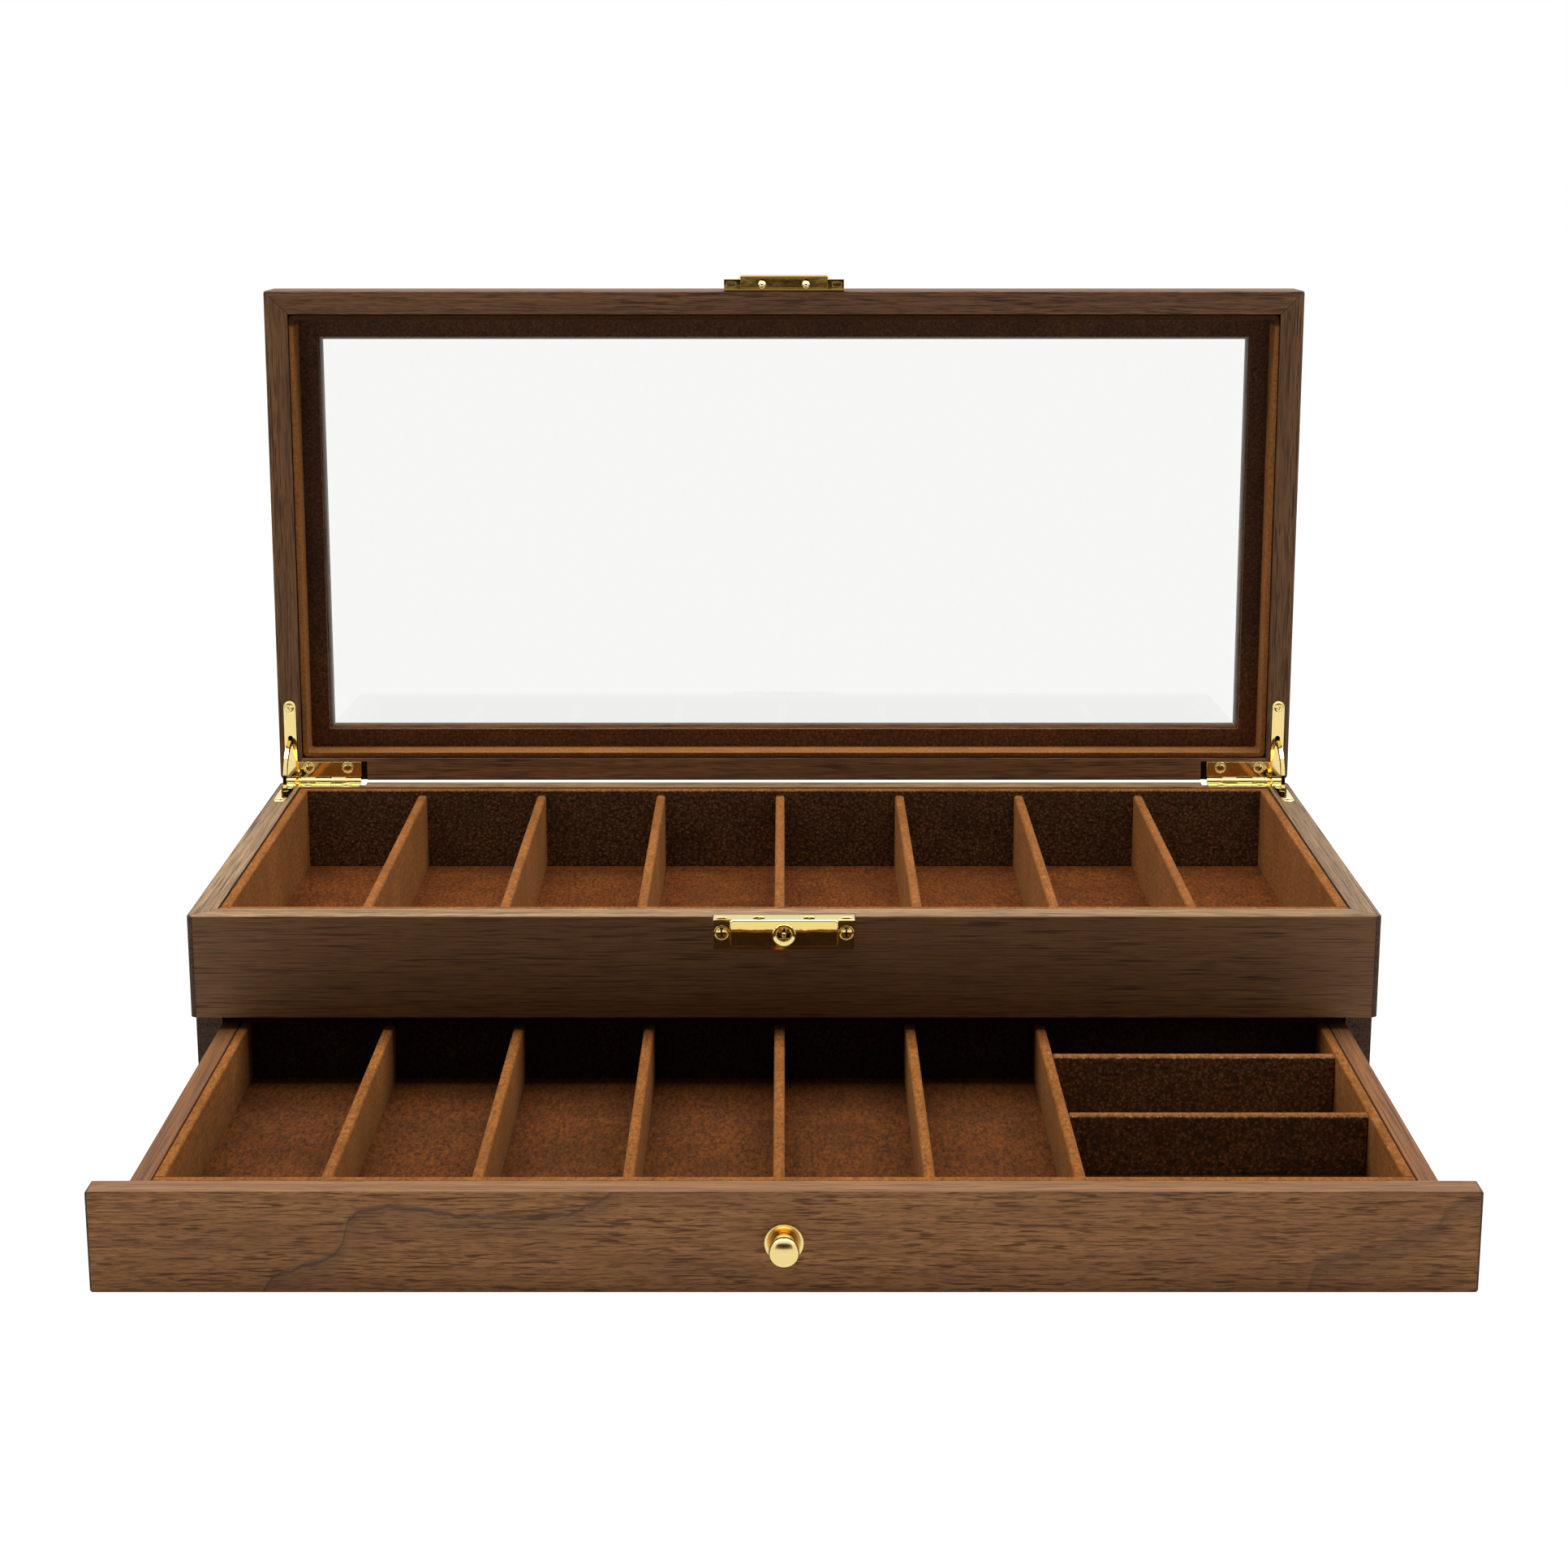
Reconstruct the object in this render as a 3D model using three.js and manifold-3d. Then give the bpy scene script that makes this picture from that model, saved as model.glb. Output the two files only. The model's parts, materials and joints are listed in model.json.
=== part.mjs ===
// Walnut knife display case: a divided tray under a glazed lid, and a divided drawer below it.
// Millimetres. X runs along the width, Y from front to back and Z up.
// The origin is the centre of the underside. The lid is open on its stops and the drawer is out.
import * as THREE from "three";
import { mergeVertices } from "three/addons/utils/BufferGeometryUtils.js";
import Module from "manifold-3d";

const wasm = await Module();
wasm.setup();

// Driving dimensions of the case
const caseWidth = 400;
const caseDepth = 192;
const wallThickness = 9;
const feltThickness = 1;
const feltInset = 2;
const drawerFrontHeight = 31.2;
const frontGap = 1;
const upperFrontHeight = 35.6;
const bottomThickness = 4;
const shelfThickness = 3.3;
const cornerRadius = 1.5;
const edgeRadius = 0.7;

// Linings and dividers
const floorLiningThickness = 1.2;
const trayLiningThickness = 3.5;
const drawerLiningThickness = 3.2;
const dividerThickness = 3.5;
const liningGap = 0.3;
const trayLiningDrop = 0.3;
const trayDividerDrop = 2.4;
const drawerDividerDrop = 0.4;
const dividerEdgeRadius = 1;
const liningEdgeRadius = 0.7;

// How the tray and the drawer are shared out, each place as a share of one plain slot
const traySlotShares = [1, 1, 1, 1, 1, 1, 1, 1.07];
const drawerSlotShares = [1.12, 1, 1, 1, 1, 1, 2.28];
const drawerCellShares = [1, 1, 0.59];

// Driving dimensions of the drawer
const drawerHeldLength = 7.8;
const drawerFrontThickness = 9;
const drawerSideThickness = 6;
const drawerInnerFrontThickness = 7;
const drawerBottomThickness = 2.7;
const drawerBoxLength = 164.3;
const drawerSideGap = 0.5;
const drawerRunningGap = 0.4;
const drawerTopGap = 4;

// Driving dimensions of the lid
const lidHeight = 21.5;
const lidOpenAngle = 91.5;
const lidFlangeThickness = 4;
const lidLiningThickness = 1.8;
const lidLiningDrop = 0.6;
const lidLiningCorner = 2;
const glassThickness = 2;
const glassGap = 0.2;
const retainerThickness = 2.1;
const retainerWidth = 9.2;
const windowLip = 1;
const glueLine = 0.1;
const partingGap = 0.3;

// Driving dimensions of the stop hinges
const hingeAxisOffset = 0.4;
const leafInset = 2.1;
const leafLegWidth = 4.9;
const leafLength = 30.1;
const leafLegReach = 32.4;
const leafPlateReach = 7.8;
const leafThickness = 1.2;
const leafFit = 0.2;
const recessOverrun = 2.4;
const knuckleCount = 5;
const knuckleRadius = 1.5;
const knuckleGap = 0.2;
const knuckleClearance = 0.4;
const hingePinRadius = 0.7;
const hingePinClearance = 0.1;
const stayRadius = 16;
const stayWidth = 2.2;
const stayThickness = 1.4;
const stayHeadWidth = 3.4;
const stayHeadAngle = 4;
const stayHeadGap = 0.2;
const staySlotWidth = 2;
const staySlotNearGap = 0.7;
const staySlotFarGap = 1.3;
const mortiseClearance = 0.4;
const leafScrewPlaceShares = [0.31, 0.82];
const leafScrewReach = 5.6;
const legScrewReach = 29.7;
const cornerScrewReach = 8.9;
const leafScrewHeadRadius = 1.8;
const leafScrewShankRadius = 0.9;

// Driving dimensions of the lock and its catch
const lockWidth = 36.2;
const lockHeight = 9.4;
const lockPlateDrop = 2.1;
const lockProud = 5.2;
const lockWall = 0.9;
const lockBackThickness = 0.6;
const lockEarWidth = 5.5;
const lockEarThickness = 1;
const lockEarFlangeProud = 4.4;
const lockRimLap = 1.4;
const lockScrewDrop = 5.6;
const lockScrewHeadRadius = 2.1;
const lockScrewShankRadius = 1.1;
const earWindowWidth = 3.6;
const earWindowDepth = 2;
const earWindowProud = 1.5;
const earWindowRadius = 0.9;
const catchWindowSink = 0.6;
const lockEdgeRadius = 0.6;
const lockKeyDrop = 5.2;
const lockKeyRingRadius = 3.8;
const lockKeyRingProud = 0.6;
const lockKeyHoleRadius = 2;
const lockKeyPinRadius = 0.8;
const prongSpacing = 16.8;
const prongRadius = 1.5;
const prongInset = 2.5;
const prongLength = 6.1;
const prongTipLength = 1;
const prongTipRadius = 0.6;
const prongHoleRadius = 1.9;
const catchWidth = 35.1;
const catchHeight = 9.5;
const catchProud = 5.8;
const catchRecessDepth = 1.5;
const boltTravel = 1.3;
const boltPostWidth = 1.4;
const boltBarHeight = 1.5;
const boltToothHeight = 1.4;
const boltGap = 0.35;
const boltNotchGap = 0.4;
const boltSideGap = 0.6;

// Driving dimensions of the knob
const knobBaseRadius = 5.7;
const knobBaseThickness = 0.9;
const knobNeckRadius = 2.8;
const knobHeadRadius = 4.4;
const knobLength = 9.8;
const knobDome = 0.7;
const knobSeatRadius = 0.5;
const knobScrewRadius = 1.2;
const knobScrewHeadRadius = 3;
const knobScrewHeadThickness = 1.5;
const knobScrewReach = 4;
const knobScrewFit = 0.3;

// Fineness of round forms, and how far a cutter runs past what it cuts
const roundSides = 28;
const knuckleSides = 16;
const arcSteps = 2;
const stayArcSteps = 13;
const bevelSteps = 2;
const overrun = 5;
const weldTolerance = 1e-4;

// Levels and places worked out from the sizes above
const half = 0.5;
const halfWidth = caseWidth * half;
const halfDepth = caseDepth * half;
const drawerFrontTop = feltThickness + drawerFrontHeight;
const upperFrontBottom = drawerFrontTop + frontGap;
const rimTop = upperFrontBottom + upperFrontHeight;
const shelfTop = upperFrontBottom + shelfThickness;
const trayFloor = shelfTop + floorLiningThickness;
const bottomTop = feltThickness + bottomThickness;
const innerHalfWidth = halfWidth - wallThickness;
const innerHalfDepth = halfDepth - wallThickness;
const lidBottom = rimTop + partingGap;
const lidTop = lidBottom + lidHeight;
const hingeAxisY = halfDepth + hingeAxisOffset;
const hingeAxisZ = rimTop + partingGap * half;
const stayInnerRadius = stayRadius - stayWidth * half;
const stayOuterRadius = stayRadius + stayWidth * half;
const drawerTravel = drawerBoxLength - drawerHeldLength;
const quarterTurn = Math.PI * half;

// Walnut, suede, gilt brass, glass and felt
const walnut = new THREE.MeshStandardMaterial({ color: 0x5e402c, roughness: 0.55, metalness: 0 });
const walnutFront = new THREE.MeshStandardMaterial({ color: 0x6e4e38, roughness: 0.55, metalness: 0 });
const suede = new THREE.MeshStandardMaterial({ color: 0x86522e, roughness: 0.95, metalness: 0 });
const giltBrass = new THREE.MeshStandardMaterial({ color: 0xe6b84a, roughness: 0.15, metalness: 1 });
const satinBrass = new THREE.MeshStandardMaterial({ color: 0xe3b566, roughness: 0.35, metalness: 1 });
const clearGlass = new THREE.MeshStandardMaterial({
  color: 0xf2f5f4,
  roughness: 0.05,
  metalness: 0,
  transparent: true,
  opacity: 0.3,
});
const blackFelt = new THREE.MeshStandardMaterial({ color: 0x1c1a19, roughness: 1, metalness: 0 });

// Turns a closed geometry into a solid that can be joined and cut.
function solidFrom(geometry) {
  const bare = geometry.clone();
  bare.deleteAttribute("normal");
  bare.deleteAttribute("uv");
  const merged = mergeVertices(bare, weldTolerance);
  const corners = merged.index.array;
  const faces = [];
  for (let face = 0; face < corners.length; face += 3) {
    const [a, b, c] = corners.slice(face, face + 3);
    if (a !== b && b !== c && c !== a) {
      faces.push(a, b, c);
    }
  }
  return new wasm.Manifold(
    new wasm.Mesh({
      numProp: 3,
      vertProperties: merged.attributes.position.array,
      triVerts: new Uint32Array(faces),
    }),
  );
}

// Turns a solid back into a geometry with flat-shaded faces.
function geometryFrom(solid) {
  const mesh = solid.getMesh();
  const geometry = new THREE.BufferGeometry();
  geometry.setAttribute("position", new THREE.BufferAttribute(mesh.vertProperties, mesh.numProp));
  geometry.setIndex(new THREE.BufferAttribute(mesh.triVerts, 1));
  return geometry.toNonIndexed();
}

// The same solid on the other side of the case's middle plane.
function mirrored(solid) {
  const geometry = geometryFrom(solid).scale(-1, 1, 1);
  const place = geometry.attributes.position;
  const flipped = new Float32Array(place.array.length);
  const corner = new THREE.Vector3();
  for (let face = 0; face < place.count; face += 3) {
    [0, 2, 1].forEach((from, to) => {
      corner.fromBufferAttribute(place, face + from).toArray(flipped, (face + to) * 3);
    });
  }
  return solidFrom(new THREE.BufferGeometry().setAttribute("position", new THREE.BufferAttribute(flipped, 3)));
}

// A named mesh of a solid.
function piece(name, solid, material) {
  const geometry = geometryFrom(solid);
  geometry.computeVertexNormals();
  const mesh = new THREE.Mesh(geometry, material);
  mesh.name = name;
  return mesh;
}

// A square-edged block between two corners.
function block(x0, x1, y0, y1, z0, z1) {
  const box = new THREE.BoxGeometry(x1 - x0, y1 - y0, z1 - z0);
  box.translate((x0 + x1) * half, (y0 + y1) * half, (z0 + z1) * half);
  return solidFrom(box);
}

// A rectangle with round corners, anticlockwise.
function roundedRectangle(x0, y0, x1, y1, radius) {
  const shape = new THREE.Shape();
  shape.absarc(x1 - radius, y0 + radius, radius, -quarterTurn, 0);
  shape.absarc(x1 - radius, y1 - radius, radius, 0, quarterTurn);
  shape.absarc(x0 + radius, y1 - radius, radius, quarterTurn, Math.PI);
  shape.absarc(x0 + radius, y0 + radius, radius, Math.PI, Math.PI + quarterTurn);
  return shape;
}

// An outline drawn in X and Y, raised from one level to another.
function raise(shape, from, to, steps = arcSteps) {
  const geometry = new THREE.ExtrudeGeometry(shape, {
    depth: to - from,
    bevelEnabled: false,
    curveSegments: steps,
  });
  return geometry.translate(0, 0, from);
}

// Turns what was drawn flat so that its depth runs along X, along Y, or the other way along Y.
const axisX = new THREE.Vector3(1, 0, 0);
const axisY = new THREE.Vector3(0, 1, 0);
const axisZ = new THREE.Vector3(0, 0, 1);
const depthAlongX = new THREE.Matrix4().makeBasis(axisY, axisZ, axisX);
const depthAlongY = new THREE.Matrix4().makeBasis(axisZ, axisX, axisY);
const depthBackwards = new THREE.Matrix4().makeBasis(axisX, axisZ, axisY.clone().negate());

// A slab drawn in X and Y with its corners and its top and bottom edges rounded.
function softSlab(x0, x1, y0, y1, z0, z1, corner, edge) {
  const shape = roundedRectangle(x0 + edge, y0 + edge, x1 - edge, y1 - edge, corner);
  const geometry = new THREE.ExtrudeGeometry(shape, {
    depth: z1 - z0 - edge - edge,
    bevelEnabled: true,
    bevelThickness: edge,
    bevelSize: edge,
    bevelSegments: bevelSteps,
    curveSegments: arcSteps,
  });
  return geometry.translate(0, 0, z0 + edge);
}

// A board standing on edge, its two top edges rounded, its length along X or along Y.
function roundToppedBoard(x0, x1, y0, y1, low, high, radius) {
  const alongX = x1 - x0 > y1 - y0;
  const [near, far] = alongX ? [y0, y1] : [x0, x1];
  const section = new THREE.Shape();
  section.moveTo(near, low);
  section.lineTo(far, low);
  section.lineTo(far, high - radius);
  section.absarc(far - radius, high - radius, radius, 0, quarterTurn);
  section.absarc(near + radius, high - radius, radius, quarterTurn, Math.PI);
  const board = alongX ? raise(section, x0, x1) : raise(section, -y1, -y0);
  return solidFrom(board.applyMatrix4(alongX ? depthAlongX : depthBackwards));
}

// A round bar along X, Y or Z from one place to another.
function barAlong(turn, radius, from, to, sides = roundSides) {
  const circle = new THREE.Shape();
  circle.absarc(0, 0, radius, 0, Math.PI + Math.PI);
  const geometry = raise(circle, from, to, sides * half);
  return turn ? geometry.applyMatrix4(turn) : geometry;
}

// Cuts a rectangular frame along its mitres into a front, back, left and right board.
function mitred(frame, bottom, top, gap) {
  const shift = gap * Math.SQRT2;
  const cutter = (points, dy) => {
    const shape = new THREE.Shape(points.map(([x, y]) => new THREE.Vector2(x, y + dy)));
    return solidFrom(raise(shape, bottom - overrun, top + overrun));
  };
  const outX = halfWidth + overrun;
  const outY = halfDepth + overrun;
  const meetX = halfWidth - halfDepth;
  return {
    front: frame.intersect(cutter([[-outX, -outY], [outX, -outY], [meetX, 0], [-meetX, 0]], -shift)),
    back: frame.intersect(cutter([[-outX, outY], [-meetX, 0], [meetX, 0], [outX, outY]], shift)),
    left: frame.intersect(cutter([[-outX, -outY], [-meetX, 0], [-outX, outY]], 0)),
    right: frame.intersect(cutter([[outX, -outY], [outX, outY], [meetX, 0]], 0)),
  };
}

// Places of dividers between two walls, from the shares of the room between them.
function dividerPlaces(from, to, shares) {
  const total = shares.reduce((sum, share) => sum + share, 0);
  const plainSlot = (to - from - dividerThickness * (shares.length - 1)) / total;
  const places = [];
  let edge = from;
  shares.slice(0, -1).forEach((share) => {
    edge += share * plainSlot;
    places.push(edge);
    edge += dividerThickness;
  });
  return places;
}

// Stop hinge: the leaves' outline, their recesses and the stays' mortises
const leafOuterX = -halfWidth + leafInset;
const leafLegInnerX = leafOuterX + leafLegWidth;
const leafEndX = leafOuterX + leafLength;
const leafLegEndY = hingeAxisY - leafLegReach;
const leafPlateFrontY = hingeAxisY - leafPlateReach;
const leafPlateBackY = hingeAxisY - knuckleRadius - knuckleClearance;
const leafMiddleX = (leafOuterX + leafLegInnerX) * half;
const staySlotNear = stayInnerRadius - staySlotNearGap;
const staySlotFar = stayOuterRadius + staySlotFarGap;

// The L-shaped outline of a leaf, grown all round by a fit and run on past its long end.
function leafOutline(grow, pastEnd, backY) {
  const legRadius = leafLegWidth * half + grow;
  const shape = new THREE.Shape();
  shape.moveTo(leafOuterX - grow, backY);
  shape.lineTo(leafOuterX - grow, leafLegEndY + leafLegWidth * half);
  shape.absarc(leafMiddleX, leafLegEndY + leafLegWidth * half, legRadius, Math.PI, Math.PI + Math.PI);
  shape.lineTo(leafLegInnerX + grow, leafPlateFrontY - grow);
  shape.lineTo(leafEndX + pastEnd, leafPlateFrontY - grow);
  shape.lineTo(leafEndX + pastEnd, backY);
  return shape;
}

// The slot in a leaf's side leg, which the stay passes through.
function staySlotOutline() {
  const radius = staySlotWidth * half;
  const near = hingeAxisY - staySlotNear - radius;
  const far = hingeAxisY - staySlotFar + radius;
  const slot = new THREE.Path();
  slot.absarc(leafMiddleX, far, radius, Math.PI, Math.PI + Math.PI);
  slot.absarc(leafMiddleX, near, radius, 0, Math.PI);
  return slot;
}

// A countersunk screw hole through a leaf, sunk from the leaf's face at the parting plane.
function leafScrewHole(x, reach, plateBottom, faceUp) {
  const face = faceUp ? plateBottom + leafThickness : plateBottom;
  const wide = leafScrewHeadRadius * 2 - leafScrewShankRadius;
  const [top, bottom] = faceUp ? [wide, leafScrewShankRadius] : [leafScrewShankRadius, wide];
  const cone = new THREE.CylinderGeometry(top, bottom, leafThickness * 2, knuckleSides);
  cone.rotateX(quarterTurn).translate(x, hingeAxisY - reach, face);
  const bore = barAlong(null, leafScrewShankRadius, plateBottom - overrun, plateBottom + overrun, knuckleSides);
  return solidFrom(cone).add(solidFrom(bore.translate(x, hingeAxisY - reach, 0)));
}

// A leaf of the left hinge, closed: its plate and the knuckles that are its own.
function hingeLeaf(plateBottom, knuckles, faceUp) {
  const outline = leafOutline(0, 0, leafPlateBackY);
  outline.holes.push(staySlotOutline());
  let leaf = solidFrom(raise(outline, plateBottom, plateBottom + leafThickness, arcSteps * 2));
  const pitch = leafLength / knuckleCount;
  knuckles.forEach((index) => {
    const from = leafOuterX + pitch * index + knuckleGap * half;
    const to = leafOuterX + pitch * (index + 1) - knuckleGap * half;
    const tab = block(from, to, leafPlateFrontY, hingeAxisY, plateBottom, plateBottom + leafThickness);
    const barrel = barAlong(depthAlongX, knuckleRadius, from, to, knuckleSides);
    leaf = leaf.add(tab).add(solidFrom(barrel.translate(0, hingeAxisY, hingeAxisZ)));
  });
  leafScrewPlaceShares.forEach((share) => {
    leaf = leaf.subtract(leafScrewHole(leafOuterX + leafLength * share, leafScrewReach, plateBottom, faceUp));
  });
  leaf = leaf.subtract(leafScrewHole(leafMiddleX, legScrewReach, plateBottom, faceUp));
  if (faceUp) {
    leaf = leaf.subtract(leafScrewHole(leafMiddleX, cornerScrewReach, plateBottom, faceUp));
  }
  const boreRadius = hingePinRadius + hingePinClearance;
  const bore = barAlong(depthAlongX, boreRadius, leafOuterX - overrun, leafEndX + overrun, knuckleSides);
  return leaf.subtract(solidFrom(bore.translate(0, hingeAxisY, hingeAxisZ)));
}

// The stay spans from under the case leaf to beyond the open lid leaf.
const openAngle = THREE.MathUtils.degToRad(lidOpenAngle);
const stayHeadSweep = THREE.MathUtils.degToRad(stayHeadAngle);
const leafDepthBelowAxis = partingGap * half + leafThickness;
const stayHeadStart = Math.asin((leafDepthBelowAxis + stayHeadGap) / stayInnerRadius);
const stayLowAngle = -stayHeadStart - stayHeadSweep;
const stayHighAngle = openAngle + stayHeadStart + stayHeadSweep;
const stayClosedAngle = (stayHighAngle - stayLowAngle) * half;

// A flat sector of a ring about the hinge axis, between two angles above the rim, and its width along X.
function staySector(lowAngle, highAngle, width, steps) {
  const shape = new THREE.Shape();
  shape.absarc(0, 0, stayOuterRadius, Math.PI - highAngle, Math.PI - lowAngle, false);
  shape.absarc(0, 0, stayInnerRadius, Math.PI - lowAngle, Math.PI - highAngle, true);
  return solidFrom(raise(shape, -width * half, width * half, steps).applyMatrix4(depthAlongX));
}

function lidStay() {
  const bow = staySector(stayLowAngle, stayHighAngle, stayThickness, stayArcSteps);
  const lowHead = staySector(stayLowAngle, stayLowAngle + stayHeadSweep, stayHeadWidth, arcSteps);
  const highHead = staySector(stayHighAngle - stayHeadSweep, stayHighAngle, stayHeadWidth, arcSteps);
  return bow.add(lowHead).add(highHead);
}

// What the left hinge needs cut from the case's rim, or from the lid's, which is its mirror image.
function hingeRecess(above) {
  const direction = above ? 1 : -1;
  const face = above ? lidBottom : rimTop;
  const seatGap = above ? glueLine : 0;
  const floorLevel = face + direction * (leafThickness + seatGap);
  const outline = leafOutline(leafFit, recessOverrun, halfDepth + overrun);
  const low = Math.min(face - direction * overrun, floorLevel);
  const high = Math.max(face - direction * overrun, floorLevel);
  const seat = solidFrom(raise(outline, low, high, arcSteps * 2));
  const mortiseHalf = stayHeadWidth * half + mortiseClearance * half;
  const reach = stayOuterRadius + mortiseClearance;
  const nearReach = (stayInnerRadius - mortiseClearance) * Math.cos(stayClosedAngle) - mortiseClearance;
  const deepest = hingeAxisZ + direction * (reach * Math.sin(stayClosedAngle) + mortiseClearance);
  const mortise = block(
    leafMiddleX - mortiseHalf,
    leafMiddleX + mortiseHalf,
    hingeAxisY - reach,
    hingeAxisY - nearReach,
    Math.min(deepest, face),
    Math.max(deepest, face),
  );
  const channelRadius = knuckleRadius + leafFit;
  const channelEnd = leafEndX + recessOverrun;
  const channel = barAlong(depthAlongX, channelRadius, leafOuterX - leafFit, channelEnd, knuckleSides);
  const left = seat.add(mortise).add(solidFrom(channel.translate(0, hingeAxisY, hingeAxisZ)));
  return left.add(mirrored(left));
}

// Lock and catch: shared places
const lockBottom = rimTop - lockHeight;
const lockPlateBottom = lockBottom - lockPlateDrop;
const lockHalfWidth = lockWidth * half;
const lockFrontY = -halfDepth - lockProud;
const lockEarHalfWidth = lockHalfWidth + lockEarWidth;
const lockKeyZ = rimTop - lockKeyDrop;
const prongY = -halfDepth - prongInset;
const prongPlaces = [-prongSpacing * half, prongSpacing * half];
const prongBottom = rimTop - prongLength;
const boltBarBottom = lockBottom + lockWall + boltGap;
const boltBarTop = boltBarBottom + boltBarHeight;
const boltToothBottom = prongBottom + prongTipLength + boltToothHeight;
const boltToothTop = boltToothBottom + boltToothHeight;

// A round bar standing up, between two levels.
function upright(x, y, radius, from, to, sides = roundSides) {
  return solidFrom(barAlong(null, radius, from, to, sides).translate(x, y, 0));
}

// What is cut from a pair of ears: a countersunk screw hole in each, and a window in the flange by it.
// The window goes right through the lock's flange, and is only sunk into the face of the catch's.
function earCuts(centreX, backY, screwZ, flangeLow, windowHigh) {
  const wide = lockScrewHeadRadius * 2 - lockScrewShankRadius;
  const cone = new THREE.CylinderGeometry(lockScrewShankRadius, wide, lockEarThickness * 2, roundSides);
  cone.translate(centreX, backY - lockEarThickness, screwZ);
  const bore = barAlong(depthAlongY, lockScrewShankRadius, backY - overrun, backY + overrun);
  const windowShape = roundedRectangle(
    centreX - earWindowWidth * half,
    -halfDepth - earWindowProud - earWindowDepth,
    centreX + earWindowWidth * half,
    -halfDepth - earWindowProud,
    earWindowRadius,
  );
  const window = solidFrom(raise(windowShape, flangeLow - lockWall, windowHigh));
  const right = solidFrom(cone).add(solidFrom(bore.translate(centreX, 0, screwZ))).add(window);
  return right.add(mirrored(right));
}

function lockHousing() {
  const body = softSlab(
    lockBottom,
    rimTop,
    -lockHalfWidth,
    lockHalfWidth,
    lockFrontY,
    -halfDepth + lockEdgeRadius,
    lockEdgeRadius,
    lockEdgeRadius,
  ).applyMatrix4(depthAlongY);
  const flangeLow = rimTop - lockWall;
  const behindWood = block(-halfWidth, halfWidth, -halfDepth, halfDepth, lockBottom - overrun, flangeLow);
  const earPlate = block(
    -lockEarHalfWidth,
    lockEarHalfWidth,
    -halfDepth - lockEarThickness,
    -halfDepth,
    lockPlateBottom,
    rimTop,
  );
  const flange = block(
    -lockEarHalfWidth,
    lockEarHalfWidth,
    -halfDepth - lockEarFlangeProud,
    -halfDepth + lockRimLap,
    rimTop - lockWall,
    rimTop,
  );
  const cavity = block(
    -lockHalfWidth + lockWall,
    lockHalfWidth - lockWall,
    lockFrontY + lockWall,
    -halfDepth - lockBackThickness,
    lockBottom + lockWall,
    rimTop - lockWall,
  );
  const bar = (radius, from, to) =>
    solidFrom(barAlong(depthAlongY, radius, from, to).translate(0, 0, lockKeyZ));
  const ring = bar(lockKeyRingRadius, lockFrontY - lockKeyRingProud, lockFrontY + lockWall);
  const keyHole = bar(lockKeyHoleRadius, lockFrontY - overrun, lockFrontY + lockWall + lockWall);
  const keyPin = bar(lockKeyPinRadius, lockFrontY, -halfDepth - lockBackThickness * half);
  let housing = solidFrom(body).subtract(behindWood).add(earPlate).add(flange).subtract(cavity);
  housing = housing.add(ring).subtract(keyHole).add(keyPin);
  const earCentre = lockHalfWidth + lockEarWidth * half;
  const screwZ = rimTop - lockScrewDrop;
  housing = housing.subtract(earCuts(earCentre, -halfDepth, screwZ, flangeLow, rimTop + lockWall));
  prongPlaces.forEach((x) => {
    housing = housing.subtract(upright(x, prongY, prongHoleRadius, flangeLow - lockWall, rimTop + overrun));
  });
  return housing;
}

// The bolt: a bar under the prongs with a hooked post beside each one.
function lockBolt() {
  const nearY = lockFrontY + lockWall + boltSideGap;
  const farY = -halfDepth - lockBackThickness - boltSideGap;
  const toothLength = boltTravel;
  const postRights = prongPlaces.map((x) => x - prongRadius - boltGap - toothLength);
  let bolt = block(
    postRights[0] - boltPostWidth,
    postRights[1],
    nearY,
    farY,
    boltBarBottom,
    boltBarTop,
  );
  postRights.forEach((right) => {
    const post = block(right - boltPostWidth, right, nearY, farY, boltBarBottom, boltToothTop);
    const tooth = block(right - boltPostWidth, right + toothLength, nearY, farY, boltToothBottom, boltToothTop);
    bolt = bolt.add(post).add(tooth);
  });
  return bolt;
}

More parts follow.
